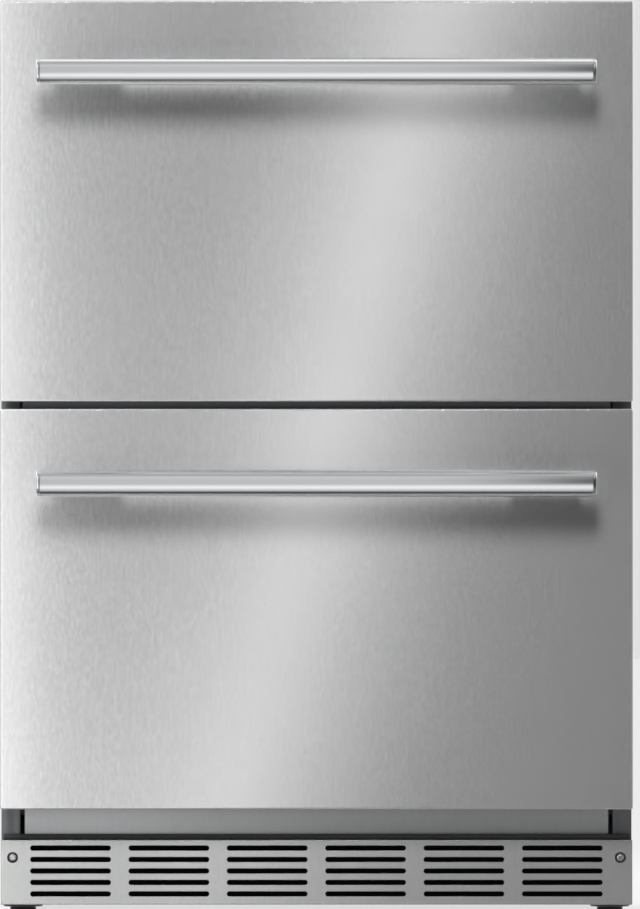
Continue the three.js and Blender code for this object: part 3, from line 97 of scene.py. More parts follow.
# ---- Node trees ----
class Graph:
    """Places and wires the nodes of one node tree."""

    def __init__(self, tree: bpy.types.NodeTree) -> None:
        """Keeps the tree that the nodes go into."""
        self.tree = tree

    @classmethod
    def emptied(cls, owner: bpy.types.ID) -> "Graph":
        """Gives a material, a world or a lamp an empty node tree."""
        owner.use_nodes = True
        owner.node_tree.nodes.clear()
        return cls(owner.node_tree)

    def wire(self, node: Node, **inputs: object) -> None:
        """Fills a node's inputs.

        Args:
            node: the node.
            **inputs: by name, with underscores for spaces, or by number after an underscore; a socket is
                wired and a value is set.
        """
        for name, value in inputs.items():
            socket = node.inputs[int(name[1:]) if name[0] == "_" else name.replace("_", " ")]
            if isinstance(value, bpy.types.NodeSocket):
                self.tree.links.new(value, socket)
            else:
                socket.default_value = value

    def node(self, kind: str, settings: dict | None = None, **inputs: object) -> Node:
        """Places a node.

        Args:
            kind: the node's type without its ShaderNode prefix.
            settings: attributes set on the node.
            **inputs: its inputs, as for wire.

        Returns:
            The node.
        """
        made = self.tree.nodes.new("ShaderNode" + kind)
        for name, value in (settings or {}).items():
            setattr(made, name, value)
        self.wire(made, **inputs)
        return made

    def maths(self, operation: str, *values: object) -> Socket:
        """Works out one operation on one to three values or sockets."""
        return self.node("Math", {"operation": operation}, **{f"_{i}": v for i, v in enumerate(values)}).outputs[0]

    def times(self, one: object, other: object) -> Socket:
        """Multiplies two values or sockets."""
        return self.maths("MULTIPLY", one, other)

    def scaled(self, vector: object, scale: Sequence[float]) -> Socket:
        """Multiplies a vector by a scale, axis by axis."""
        return self.node("VectorMath", {"operation": "MULTIPLY"}, _0=vector, _1=scale).outputs[0]

    def parts(self, vector: Socket) -> Sequence[Socket]:
        """Splits a vector into its x, y and z."""
        return self.node("SeparateXYZ", Vector=vector).outputs

    def noise(self, vector: object, scale: object, detail: float) -> Socket:
        """Reads a noise, from 0 to 1, at a place."""
        return self.node("TexNoise", Vector=vector, Scale=scale, Detail=detail).outputs[0]

    def span(self, value: object, low: float, high: float, start: float, end: float) -> Socket:
        """Maps a value from one range onto another, held at its ends."""
        return self.node("MapRange", _0=value, _1=low, _2=high, _3=start, _4=end).outputs[0]

    def bell(self, value: object, centre: float, width: float) -> Socket:
        """Works out a bell curve of a value."""
        away = self.maths("DIVIDE", self.maths("SUBTRACT", value, centre), width)
        return self.maths("EXPONENT", self.times(self.times(away, away), -0.5))

    def ramp(self, value: Socket, stops: Sequence[tuple[float, Colour]]) -> Socket:
        """Reads a colour from a ramp.

        Args:
            value: the place on the ramp, from 0 to 1.
            stops: each stop's place and colour.

        Returns:
            The colour.
        """
        made = self.node("ValToRGB", Fac=value)
        elements = made.color_ramp.elements
        while len(elements) < len(stops):
            elements.new(1.0)
        for element, (place, colour) in zip(elements, stops):
            element.position = place
            element.color = (*colour, 1)
        return made.outputs[0]


class Effect:
    """A node group with named inputs and outputs, built once and placed in each material that uses it."""

    groups: dict[str, bpy.types.NodeTree] = {}

    @classmethod
    def marks(cls, graph: Graph, build: Callable[[Graph, Node, Node], None], outputs: Iterable[str],
              place: Socket, **inputs: float) -> Sequence[Socket]:
        """Places a group in a material, and builds it the first time.

        Args:
            graph: the material's graph.
            build: fills the group, given its graph and its input and output nodes; the group has its name.
            outputs: the names of its number outputs.
            place: the vector it is read at.
            **inputs: its number inputs.

        Returns:
            Its outputs.
        """
        name = build.__name__
        if name not in cls.groups:
            tree = bpy.data.node_groups.new(name, "ShaderNodeTree")
            tree.interface.new_socket("Vector", in_out="INPUT", socket_type="NodeSocketVector")
            for way, titles in (("INPUT", inputs), ("OUTPUT", outputs)):
                for title in titles:
                    tree.interface.new_socket(title, in_out=way, socket_type="NodeSocketFloat")
            build(Graph(tree), tree.nodes.new("NodeGroupInput"), tree.nodes.new("NodeGroupOutput"))
            cls.groups[name] = tree
        return graph.node("Group", {"node_tree": cls.groups[name]}, Vector=place, **inputs).outputs


def brushed_grain(graph: Graph, way_in: Node, way_out: Node) -> None:
    """Fills the group of fine short scratches that a belt leaves, over faint clouds."""
    across = way_in.outputs["Across"]
    x, y, z = graph.parts(way_in.outputs["Vector"])
    stretched = graph.node("CombineXYZ", X=graph.times(x, across), Y=graph.times(y, across),
                           Z=graph.times(z, way_in.outputs["Along"])).outputs[0]
    fine = graph.noise(stretched, 1.0, 1.5)
    hair = graph.noise(graph.scaled(stretched, (1.9, 1.9, 0.7)), 1.0, 0.0)
    clouds = graph.noise(way_in.outputs["Vector"], 9.0, 3.0)
    flecks = graph.span(graph.noise(graph.scaled(stretched, (0.8, 0.8, 0.62)), 1.0, 0.0), 0.64, 0.85, 0.0, 0.16)
    mixed = graph.maths("MULTIPLY_ADD", fine, 0.75, graph.times(hair, 0.25))
    tone = graph.maths("ADD", mixed, graph.maths("MULTIPLY_ADD", clouds, 0.35, -0.175))
    graph.wire(way_out, Tone=graph.maths("ADD", tone, flecks), Height=mixed)


def moulded_skin(graph: Graph, way_in: Node, way_out: Node) -> None:
    """Fills the group of a moulded or powder-coated skin: fine stipple, soft peel and slow clouds."""
    place = way_in.outputs["Vector"]
    grain = way_in.outputs["Grain"]
    stipple = graph.noise(place, grain, 1.0)
    peel = graph.noise(place, graph.times(grain, 0.22), 0.0)
    graph.wire(way_out, Height=graph.maths("MULTIPLY_ADD", stipple, 0.5, graph.times(peel, 0.5)),
               Clouds=graph.noise(place, 6.0, 4.0))


def settled_dust(graph: Graph, way_in: Node, way_out: Node) -> None:
    """Fills the group that finds where dust has settled: on faces that look up, in patches."""
    facing = graph.parts(graph.node("NewGeometry").outputs["Normal"])[2]
    patches = graph.noise(way_in.outputs["Vector"], 34.0, 4.0)
    mask = graph.times(graph.span(facing, 0.2, 0.95, 0.0, 1.0), graph.span(patches, 0.35, 0.7, 0.25, 1.0))
    graph.wire(way_out, Mask=graph.times(mask, way_in.outputs["Amount"]))


# ---- Finishes ----
class Finish:
    """A surface finish, made as a material once and shared by the pieces that have it."""

    made: dict[str, bpy.types.Material] = {}
    name: str

    def dress(self, graph: Graph, shader: Node, place: Socket) -> None:
        """Wires what is special to the finish; each finish has its own."""
        raise NotImplementedError

    def material(self) -> bpy.types.Material:
        """Finds the finish's material, or makes it the first time."""
        if self.name not in Finish.made:
            material = bpy.data.materials.new(self.name)
            graph = Graph.emptied(material)
            shader = graph.node("BsdfPrincipled")
            graph.node("OutputMaterial", Surface=shader.outputs[0])
            self.dress(graph, shader, graph.node("TexCoord").outputs["Object"])
            Finish.made[self.name] = material
        return Finish.made[self.name]

    @staticmethod
    def shade(graph: Graph, colour: Colour, amount: object) -> Socket:
        """Brightens or darkens a colour by a changing amount round 1."""
        grey = graph.node("CombineColor", Red=amount, Green=amount, Blue=amount).outputs[0]
        return graph.node("Mix", {"data_type": "RGBA", "blend_type": "MULTIPLY"}, Factor=1.0, _6=(*colour, 1.0),
                          _7=grey).outputs[2]

    @staticmethod
    def emboss(graph: Graph, shader: Node, height: Socket, strength: float, distance: float) -> None:
        """Gives the surface a fine relief."""
        bump = graph.node("Bump", Strength=strength, Distance=distance, Height=height)
        graph.wire(shader, Normal=bump.outputs[0])


@dataclass(frozen=True)
class Brushed(Finish):
    """Brushed stainless steel.

    The matt part stands for the many fine scratches, which scatter light as paint does.
    """

    name: str
    colour: Colour
    roughness: float
    metallic: float = 1.0
    along: Axis = Axis.Z
    across_scale: float = 340.0
    along_scale: float = 95.0
    contrast: float = 0.1
    relief: float = 0.05

    def dress(self, graph: Graph, shader: Node, place: Socket) -> None:
        """Wires the grain to colour, roughness and relief."""
        tilt = {Axis.X: (0, math.pi / 2, 0), Axis.Y: (math.pi / 2, 0, 0)}.get(self.along)
        lying = graph.node("Mapping", Vector=place, Rotation=tilt).outputs[0] if tilt else place
        marks = Effect.marks(graph, brushed_grain, ("Tone", "Height"), lying, Across=self.across_scale,
                             Along=self.along_scale)
        swing = self.contrast / 2
        amount = graph.span(marks["Tone"], 0.1, 0.9, 1 - swing, 1 + swing)
        rough = graph.span(marks["Height"], 0.2, 0.8, self.roughness - 0.03, self.roughness + 0.03)
        graph.wire(shader, Base_Color=self.shade(graph, self.colour, amount), Roughness=rough,
                   Metallic=self.metallic)
        self.emboss(graph, shader, marks["Height"], self.relief, 0.4 * MM)


@dataclass(frozen=True)
class Moulded(Finish):
    """Moulded plastic, or a powder-coated sheet where coat is above nothing."""

    name: str
    colour: Colour
    roughness: float
    grain: float = 1400.0
    relief: float = 0.12
    coat: float = 0.0
    dust: float = 0.0
    specular: float = 0.5
    dust_colour: Colour = (0.33, 0.32, 0.3)

    def dress(self, graph: Graph, shader: Node, place: Socket) -> None:
        """Wires the skin's clouds, stipple and dust."""
        marks = Effect.marks(graph, moulded_skin, ("Height", "Clouds"), place, Grain=self.grain)
        colour = self.shade(graph, self.colour, graph.span(marks["Clouds"], 0.25, 0.75, 0.95, 1.05))
        rough = graph.span(marks["Clouds"], 0.25, 0.75, self.roughness - 0.05, self.roughness + 0.05)
        if self.dust > 0:
            mask = Effect.marks(graph, settled_dust, ("Mask",), place, Amount=self.dust)["Mask"]
            colour = graph.node("Mix", {"data_type": "RGBA"}, Factor=mask, _6=colour,
                                _7=(*self.dust_colour, 1)).outputs[2]
            rough = graph.node("Mix", Factor=mask, _2=rough, _3=0.9).outputs[0]
        graph.wire(shader, Base_Color=colour, Roughness=rough, Specular_IOR_Level=self.specular,
                   Coat_Weight=self.coat, Coat_Roughness=0.12)
        self.emboss(graph, shader, marks["Height"], self.relief, 0.2 * MM)


@dataclass(frozen=True)
class Spangled(Finish):
    """Zinc-coated sheet with its crystal spangle."""

    name: str
    colour: Colour
    roughness: float
    crystal: float = 90.0

    def dress(self, graph: Graph, shader: Node, place: Socket) -> None:
        """Wires the crystals to colour and roughness."""
        drift = graph.node("TexNoise", Vector=place, Scale=60.0).outputs["Color"]
        warped = graph.node("VectorMath", {"operation": "MULTIPLY_ADD"}, _0=drift, _1=(0.006, 0.006, 0.006),
                            _2=place).outputs[0]
        cells = graph.node("TexVoronoi", Vector=warped, Scale=self.crystal)
        tone = graph.node("SeparateColor", Color=cells.outputs["Color"]).outputs[0]
        graph.wire(shader, Base_Color=self.shade(graph, self.colour, graph.span(tone, 0, 1, 0.86, 1.06)),
                   Roughness=graph.span(tone, 0, 1, self.roughness - 0.07, self.roughness + 0.07), Metallic=0.9)
        self.emboss(graph, shader, cells.outputs["Distance"], 0.08, 0.3 * MM)


@dataclass(frozen=True)
class Foamed(Finish):
    """Rigid insulating foam with fine cells and a cut skin."""

    name: str
    colour: Colour

    def dress(self, graph: Graph, shader: Node, place: Socket) -> None:
        """Wires the cells to colour and relief."""
        cells = graph.node("TexVoronoi", Vector=place, Scale=420.0).outputs["Distance"]
        clouds = graph.noise(place, 12.0, 4.0)
        depth = graph.maths("MULTIPLY_ADD", cells, 0.4, graph.times(clouds, 0.6))
        graph.wire(shader, Base_Color=self.shade(graph, self.colour, graph.span(depth, 0.2, 0.8, 0.85, 1.08)),
                   Roughness=graph.span(clouds, 0.3, 0.7, 0.85, 0.98))
        self.emboss(graph, shader, cells, 0.5, 0.8 * MM)


FRONT_STEEL = Brushed("front_steel", (0.62, 0.62, 0.625), 0.2, metallic=0.85, along_scale=150, contrast=0.15,
                      relief=0.03)
GRILLE_STEEL = Brushed("grille_steel", (0.36, 0.365, 0.36), 0.24, metallic=0.72)
RAIL_STEEL = Brushed("rail_steel", (0.46, 0.465, 0.47), 0.42, metallic=0.35)
BAR_STEEL = Brushed("bar_steel", (0.84, 0.85, 0.86), 0.13, along=Axis.X, across_scale=900, along_scale=60,
                    contrast=0.06, relief=0.02)
POST_STEEL = Brushed("post_steel", (0.66, 0.665, 0.67), 0.3, metallic=0.8, along=Axis.Y)
SLIDE_ZINC = Brushed("slide_zinc", (0.72, 0.74, 0.75), 0.3, along=Axis.Y, across_scale=700, along_scale=14)
ZINC_SHEET = Spangled("zinc_sheet", (0.68, 0.7, 0.71), 0.42)
SCREW_STEEL = Brushed("screw_steel", (0.5, 0.505, 0.51), 0.22, metallic=0.85)
WRAPPER_PAINT = Moulded("wrapper_paint", (0.115, 0.12, 0.125), 0.42, grain=900, relief=0.16, coat=0.15)
BLACK_PAINT = Moulded("black_paint", (0.018, 0.018, 0.02), 0.3, grain=500, relief=0.1, coat=0.5, dust=0.35)
BLACK_PLASTIC = Moulded("black_plastic", (0.02, 0.021, 0.022), 0.48, grain=1800, relief=0.2)
# Near-black pad behind the grille's slots: painted shade for the dark bay behind them.
SLOT_SHADE_FOAM = Moulded("slot_shade_foam", (0.004, 0.004, 0.004), 0.95, grain=300, relief=0.6, specular=0.05)
LEG_PLASTIC = Moulded("leg_plastic", (0.03, 0.031, 0.032), 0.45, grain=1500, relief=0.16, dust=0.15)
LINER_PLASTIC = Moulded("liner_plastic", (0.8, 0.81, 0.81), 0.28, grain=420, relief=0.06)
BIN_PLASTIC = Moulded("bin_plastic", (0.7, 0.715, 0.72), 0.24, grain=700, relief=0.05, coat=0.1)
# Dark rubber of the drawer seals; on the bead above the grille it is painted shade.
SEAL_RUBBER_AND_SHADE = Moulded("seal_rubber", (0.075, 0.077, 0.08), 0.62, grain=1200, relief=0.2, specular=0.35)
FOAM = Foamed("foam", (0.74, 0.6, 0.32))
COPPER = Brushed("copper_tube", (0.78, 0.42, 0.27), 0.3, along=Axis.X, contrast=0.2)
FIN_ALUMINIUM = Brushed("fin_aluminium", (0.78, 0.79, 0.8), 0.38, contrast=0.2)
LENS = Moulded("frosted_lens", (0.88, 0.9, 0.92), 0.5, grain=1500, relief=0.25)
FAN_PLASTIC = Moulded("fan_plastic", (0.035, 0.036, 0.038), 0.36, grain=900, relief=0.08)
INDICATOR = Moulded("indicator", (0.12, 0.62, 0.5), 0.25, grain=900, relief=0.05, coat=0.4)
WINDOW = Moulded("display_window", (0.008, 0.009, 0.012), 0.08, grain=80, relief=0.0, coat=0.6)

FINISH_OF_NODE: dict[str, Finish] = {"evaporator_coil": FIN_ALUMINIUM, "evaporator_fan": FAN_PLASTIC}

FINISH_OF_SLOT: dict[str, Finish] = {
    "brushed_steel": FRONT_STEEL, "satin_bar": BAR_STEEL, "rail_steel": RAIL_STEEL, "zinc_sheet": ZINC_SHEET,
    "dark_paint": WRAPPER_PAINT, "black_paint": BLACK_PAINT, "black_plastic": BLACK_PLASTIC,
    "liner_plastic": LINER_PLASTIC, "bin_plastic": BIN_PLASTIC, "seal_rubber": SEAL_RUBBER_AND_SHADE, "foam": FOAM,
    "copper": COPPER, "lens": LENS, "chrome": SLIDE_ZINC,
}


# ---- Bench tools ----
def edge_loop(mesh: Mesh, places: Sequence[Vector]) -> list[bmesh.types.BMVert]:
    """Draws a closed loop of edges as a circle and moves its corners to their places.

    Args:
        mesh: the mesh under construction.
        places: where the loop's corners go, in order.

    Returns:
        The loop's vertices in order.
    """
    ring = bmesh.ops.create_circle(mesh, cap_ends=False, radius=1.0, segments=len(places))["verts"]
    for vert, place in zip(ring, places):
        vert.co = place
    return ring


def loop_edges(ring: Sequence[bmesh.types.BMVert]) -> list[bmesh.types.BMEdge]:
    """Finds the edges between the neighbours of a closed loop."""
    members = set(ring)
    found = {e for v in ring for e in v.link_edges if e.verts[0] in members and e.verts[1] in members}
    return sorted(found, key=lambda e: e.index)


def rounding(radius: float, steps: int) -> Iterator[Point2]:
    """Steps round a quarter circle, from a face to the wall at right angles to it.

    Args:
        radius: of the rounding.
        steps: the stretches of the arc.

    Yields:
        The distance from the wall and the depth below the face.
    """
    for step in range(steps + 1):
        turn = math.radians(90 * step / steps)
        yield radius * (1 - math.sin(turn)), radius * (1 - math.cos(turn))


def rounded_places(low: Vector, high: Vector, inset: float, radius: float, depth: float, steps: int) -> Loop:
    """Works out a box's outline, seen from the front, with rounded corners.

    Args:
        low: the box's lowest corner.
        high: its highest corner.
        inset: how far the outline is drawn in.
        radius: of its corners.
        depth: its y.
        steps: the stretches of each corner's arc.

    Returns:
        Its corners, from the lower right one round to the left.
    """
    left, right, floor, top = low.x + inset, high.x - inset, low.z + inset, high.z - inset
    places = []
    for quarter, (x, z, side, rise) in enumerate(((right, floor, 1, -1), (right, top, 1, 1), (left, top, -1, 1),
                                                  (left, floor, -1, -1))):
        for step in range(steps + 1):
            turn = math.radians(90 * (quarter - 1 + step / steps))
            places.append(Vector((x - side * radius + radius * math.cos(turn), depth,
                                  z - rise * radius + radius * math.sin(turn))))
    return places


def slot_places(centre: Point2, half: float, radius: float, depth: float, segments: int = 24) -> Loop:
    """Works out a slot with round ends, or a circle where half is nothing, in the plane y = depth.

    Args:
        centre: its x and z.
        half: half the length of its straight sides.
        radius: of its ends.
        depth: its y.
        segments: its corners.

    Returns:
        Its corners, once round.
    """
    places = []
    for index in range(segments):
        turn = 2 * math.pi * (index + 0.5) / segments
        x = radius * math.cos(turn)
        places.append(Vector((centre[0] + x + math.copysign(half, x), depth, centre[1] + radius * math.sin(turn))))
    return places


def skin_loops(mesh: Mesh, loops: Sequence[Loop], closed: bool = False) -> list[list[bmesh.types.BMVert]]:
    """Lays a skin over a row of loops that have as many corners as each other.

    Args:
        mesh: the mesh under construction.
        loops: the places of each loop's corners.
        closed: whether the last loop is joined to the first.

    Returns:
        The loops' vertices.
    """
    rings = [edge_loop(mesh, places) for places in loops]
    pairs = list(zip(rings, rings[1:])) + ([(rings[-1], rings[0])] if closed else [])
    for one, other in pairs:
        bmesh.ops.bridge_loops(mesh, edges=loop_edges(one) + loop_edges(other))
    return rings


def solid_skin(loops: Sequence[Loop]) -> Mesh:
    """Lays a skin over a row of loops, as skin_loops does, in a new mesh, and closes both of its ends."""
    mesh = bmesh.new()
    rings = skin_loops(mesh, loops)
    for ring in (rings[0], rings[-1]):
        bmesh.ops.contextual_create(mesh, geom=loop_edges(ring))
    return mesh


def outward(mesh: Mesh) -> Mesh:
    """Turns a mesh's faces outwards and hands it back."""
    bmesh.ops.recalc_face_normals(mesh, faces=mesh.faces)
    return mesh


def turned(profile: Sequence[Point2], axis: Axis, centre: Vector, segments: int) -> Mesh:
    """Turns a profile once round an axis, as on a lathe.

    Args:
        profile: points of distance from the axis and height along it; its ends meet, or lie on the axis.
        axis: the direction of the axis.
        centre: where the axis starts.
        segments: the steps of the turn.

    Returns:
        A closed mesh.
    """
    mesh = bmesh.new()
    verts = [mesh.verts.new((radius, 0, height)) for radius, height in profile]
    edges = [mesh.edges.new(pair) for pair in zip(verts, verts[1:])]
    bmesh.ops.spin(mesh, geom=verts + edges, cent=(0, 0, 0), axis=(0, 0, 1), angle=2 * math.pi, steps=segments,
                   use_merge=True)
    bmesh.ops.remove_doubles(mesh, verts=mesh.verts, dist=0.001 * MM)
    outward(mesh)
    lie = {Axis.X: Matrix.Rotation(math.pi / 2, 4, "Y"), Axis.Y: Matrix.Rotation(-math.pi / 2, 4, "X"),
           Axis.Z: Matrix.Identity(4)}[axis]
    mesh.transform(Matrix.Translation(centre) @ lie)
    return mesh


def flipped(mesh: Mesh, flip: Sequence[float], at: Sequence[float]) -> Mesh:
    """Mirrors a mesh that stands at the origin and moves it into place.

    Args:
        mesh: the mesh, changed in place.
        flip: -1 for each axis that is mirrored and 1 for the others.
        at: its place.

    Returns:
        The mesh.
    """
    bmesh.ops.scale(mesh, vec=flip, verts=mesh.verts)
    bmesh.ops.translate(mesh, vec=at, verts=mesh.verts)
    return outward(mesh)


def pulled(mesh: Mesh, faces: Sequence[bmesh.types.BMFace], by: Sequence[float]) -> Mesh:
    """Makes flat faces a solid by pulling a copy of them away, and hands the mesh back."""
    grown = bmesh.ops.extrude_face_region(mesh, geom=faces, use_keep_orig=True)["geom"]
    bmesh.ops.translate(mesh, vec=by, verts=[v for v in grown if isinstance(v, bmesh.types.BMVert)])
    return outward(mesh)


def eased(mesh: Mesh, width: float) -> Mesh:
    """Takes the sharpness off the edges of a mesh, by a given width, and hands the mesh back."""
    limit = math.radians(EASED_PAST)
    edges = [e for e in mesh.edges if len(e.link_faces) == 2 and e.calc_face_angle(0) > limit]
    bmesh.ops.bevel(mesh, geom=edges, offset=width, offset_type="OFFSET", affect="EDGES", segments=EASING_STEPS,
                    profile=0.5, material=-1, clamp_overlap=True)
    return mesh


def block(middle: Sequence[float], spread: Sequence[float], easing: float) -> Mesh:
    """Makes a block with eased edges, given its middle and its size along each axis."""
    mesh = bmesh.new()
    bmesh.ops.create_cube(mesh, size=1.0)
    mesh.transform(Matrix.Translation(middle) @ Matrix.Diagonal((*spread, 1)))
    return eased(mesh, easing)


def pan_head(at: Vector, rim: float, height: float) -> Mesh:
    """Forms a screw's pan head with a cross recess, which looks along -Y.

    Args:
        at: the middle of its underside.
        rim: its radius.
        height: its height.

    Returns:
        The head's mesh, open underneath.
    """
    mesh = bmesh.new()
    bmesh.ops.create_grid(mesh, x_segments=3, y_segments=3, size=1.0)
    steps = {-3: -RECESS_HALF, -1: -RECESS_ARM, 1: RECESS_ARM, 3: RECESS_HALF}
    for vert in mesh.verts:
        vert.co = (steps[round(vert.co.x * 3)], steps[round(vert.co.y * 3)], height * 0.92)
    rim_edges = [e for e in mesh.edges if e.is_boundary]
    for share, level in ((0.62, 0.86), (0.8, 0.68), (0.93, 0.38), (1.0, 0.0)):
        grown = bmesh.ops.extrude_edge_only(mesh, edges=rim_edges)["geom"]
        rim_edges = [e for e in grown if isinstance(e, bmesh.types.BMEdge) and e.is_boundary]
        for vert in {v for e in rim_edges for v in e.verts}:
            flat = Vector((vert.co.x, vert.co.y, 0)).normalized() * rim * share
            vert.co = (flat.x, flat.y, height * level)
    arms = []
    for face in mesh.faces:
        near, far = sorted(abs(c) for c in face.calc_center_median()[:2])
        if len(face.verts) == 4 and near < 1e-6 and far < RECESS_HALF:
            arms.append(face)
    sunk = bmesh.ops.extrude_face_region(mesh, geom=arms)["geom"]
    bmesh.ops.delete(mesh, geom=arms, context="FACES")
    floor = [v for v in sunk if isinstance(v, bmesh.types.BMVert)]
    bmesh.ops.scale(mesh, vec=(0.72, 0.72, 1), verts=floor)
    bmesh.ops.translate(mesh, vec=(0, 0, -height * 0.7), verts=floor)
    outward(mesh)
    mesh.transform(Matrix.Translation(at) @ Matrix.Rotation(math.pi / 2, 4, "X"))
    return mesh


def node_copy(name: str) -> Mesh:
    """Copies a CAD node's mesh, with its loose triangles merged and its flat faces made whole."""
    mesh = bmesh.new()
    mesh.from_mesh(frame["nodes"][name].data)
    bmesh.ops.remove_doubles(mesh, verts=mesh.verts, dist=0.002 * MM)
    bmesh.ops.dissolve_limit(mesh, angle_limit=math.radians(0.8), verts=mesh.verts, edges=mesh.edges)
    return mesh


def body_of(node: str) -> str:
    """Finds the name of the body that a CAD node moves with."""
    return frame["nodes"][node].parent.name.split(":")[1]


def mesh_data(name: str, mesh: Mesh) -> bpy.types.Mesh:
    """Writes a mesh under construction to new mesh data and frees it."""
    data = bpy.data.meshes.new(name)
    mesh.to_mesh(data)
    mesh.free()
    return data


def joined(*meshes: Mesh) -> Mesh:
    """Puts several meshes together in the first one."""
    first, *others = meshes
    for other in others:
        part = mesh_data("part", other)
        first.from_mesh(part)
        bpy.data.meshes.remove(part)
    return first


def placed(name: str, data: bpy.types.ID) -> Object:
    """Puts data into the scene as a new object."""
    made = bpy.data.objects.new(name, data)
    bpy.context.scene.collection.objects.link(made)
    return made


def finished(name: str, mesh: Mesh, finish: Finish, body: str, nodes: Sequence[str] = (),
             sharp: float = SHARP) -> None:
    """Makes a mesh a finished piece of the refrigerator.

    Args:
        name: the piece's name.
        mesh: its mesh, which is freed.
        finish: its finish.
        body: the body that it moves with.
        nodes: the CAD nodes that it stands for.
        sharp: the angle in degrees past which an edge is shaded sharp.
    """
    data = mesh_data(name, mesh)
    data.shade_smooth()
    data.set_sharp_from_angle(angle=math.radians(sharp))
    piece = placed(name, data)
    data.materials.append(finish.material())
    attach(piece, body)
    if nodes:
        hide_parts(*nodes)
    log.info("%s: %d faces, on %s", name, len(data.polygons), body)


# ---- Sub-assemblies ----
@dataclass
class DrawerFront:
    """A drawer's steel front pan and its tubular handle."""

    name: str
    sheet: float = 1.0 * MM
    edge_radius: float = 1.6 * MM
    edge_steps: int = 5
    least_radius: float = 0.2 * MM
    flat_margin: float = 0.6 * MM
    bar_segments: int = 96
    bar_wall: float = 2.0 * MM
    bar_edge: float = 0.35 * MM
    cap_rounding: float = 1.2 * MM
    cap_gap: float = 0.15 * MM
    cap_chamfer: float = 0.2 * MM
    cap_band: float = 0.9 * MM
    cap_spigot: float = 7.0 * MM
    play: float = 0.3 * MM
    post_edge: float = 0.8 * MM
    post_corners: int = 40
    post_cuts: int = 12

    @property
    def body(self) -> str:
        """The body that the front moves with."""
        return f"{self.name}_drawer"

    def node(self, part: str) -> str:
        """The CAD node of one of its parts."""
        return f"{self.name}_{part}"

    def pan(self) -> None:
        """Folds the front's pan: a flat face, rounded edges and a thin wall open to the back."""
        low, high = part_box(self.node("front_skin"))
        radius = self.edge_radius
        inner = max(radius - self.sheet, self.least_radius)
        turns = [(radius + self.flat_margin, low.y, radius)]
        turns += [(inset, low.y + depth, radius) for inset, depth in rounding(radius, self.edge_steps)]
        turns += [(0, high.y, radius), (self.sheet, high.y, inner), (self.sheet, low.y + self.sheet, inner)]
        mesh = solid_skin([rounded_places(low, high, inset, max(corner - inset * 0.6, self.least_radius), depth, 3)
                           for inset, depth, corner in turns])
        finished(self.node("front_pan"), outward(mesh), FRONT_STEEL, self.body,
                 [self.node("front_skin")], SHARP_ON_SHEET)

    def bar(self) -> None:
        """Draws the handle's tube, with its ends eased."""
        low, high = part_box(self.node("handle_bar"))
        radius = (high.z - low.z) / 2
        bore = radius - self.bar_wall
        length = high.x - low.x
        edge = self.bar_edge
        near = [(radius - edge, 0), (radius - edge * 0.3, edge * 0.3), (radius, edge), (radius, 2 * edge)]
        far = [(distance, length - height) for distance, height in reversed(near)]
        mesh = turned(near + far + [(bore, length), (bore, 0), near[0]], Axis.X,
                      Vector((low.x, (low.y + high.y) / 2, (low.z + high.z) / 2)), self.bar_segments)
        finished(self.node("grip_tube"), mesh, BAR_STEEL, self.body, [self.node("handle_bar")])

    def cap(self, side: str) -> None:
        """Turns the cap that closes one end of the tube."""
        node = self.node(f"handle_cap_{side}")
        low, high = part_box(node)
        bar_low, bar_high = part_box(self.node("handle_bar"))
        outwards, seat, end = (1, bar_high.x, high.x) if side == "right" else (-1, bar_low.x, low.x)
        radius = (high.z - low.z) / 2
        thickness = abs(end - seat)
        spigot = radius - self.bar_wall - self.play
        profile = [(0, -self.cap_spigot), (spigot, -self.cap_spigot), (spigot, self.cap_gap),
                   (radius - self.cap_chamfer, self.cap_gap), (radius, self.cap_gap + self.cap_chamfer),
                   (radius, self.cap_band)]
        profile += [(radius - depth, thickness - inset) for inset, depth in rounding(self.cap_rounding, 6)]
        mesh = turned(profile + [(0, thickness)], Axis.X, ORIGIN, self.bar_segments)
        flipped(mesh, (outwards, 1, 1), (seat, (low.y + high.y) / 2, (low.z + high.z) / 2))
        finished(self.node(f"grip_cap_{side}"), mesh, BAR_STEEL, self.body, [node])

    def post(self, side: str) -> None:
        """Shapes one oval post, with a saddle for the tube at its front end."""
        node = self.node(f"handle_post_{side}")
        low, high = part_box(node)
        bar_low, bar_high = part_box(self.node("handle_bar"))
        axis_y = (bar_low.y + bar_high.y) / 2
        axis_z = (bar_low.z + bar_high.z) / 2
        saddle = (bar_high.z - bar_low.z) / 2 + self.play
        half_height = (high.z - low.z) / 2
        straight = (high.x - low.x) / 2 - half_height
        centre = ((low.x + high.x) / 2, axis_z)
        edge = self.post_edge
        mesh = solid_skin([slot_places(centre, straight, half_height - inset, depth, self.post_corners)
                           for inset, depth in ((0, low.y), (0, high.y - 1.5 * edge), (0, high.y - edge),
                                                (edge * 0.3, high.y - edge * 0.3), (edge, high.y))])
        for cut in range(1, self.post_cuts):
            level = low.z + (high.z - low.z) * cut / self.post_cuts
            bmesh.ops.bisect_plane(mesh, geom=mesh.verts[:] + mesh.edges[:] + mesh.faces[:],
                                   plane_co=(0, 0, level), plane_no=(0, 0, 1))
        for vert in mesh.verts:
            if vert.co.y < low.y + 0.01 * MM:
                rise = min(abs(vert.co.z - axis_z), saddle)
                vert.co.y = axis_y + math.sqrt(saddle**2 - rise**2)
        finished(self.node(f"grip_post_{side}"), outward(mesh), POST_STEEL, self.body, [node])

    def build(self) -> None:
        """Makes the front's pan and handle."""
        self.pan()
        self.bar()
        for side in SIDES:
            self.cap(side)
            self.post(side)


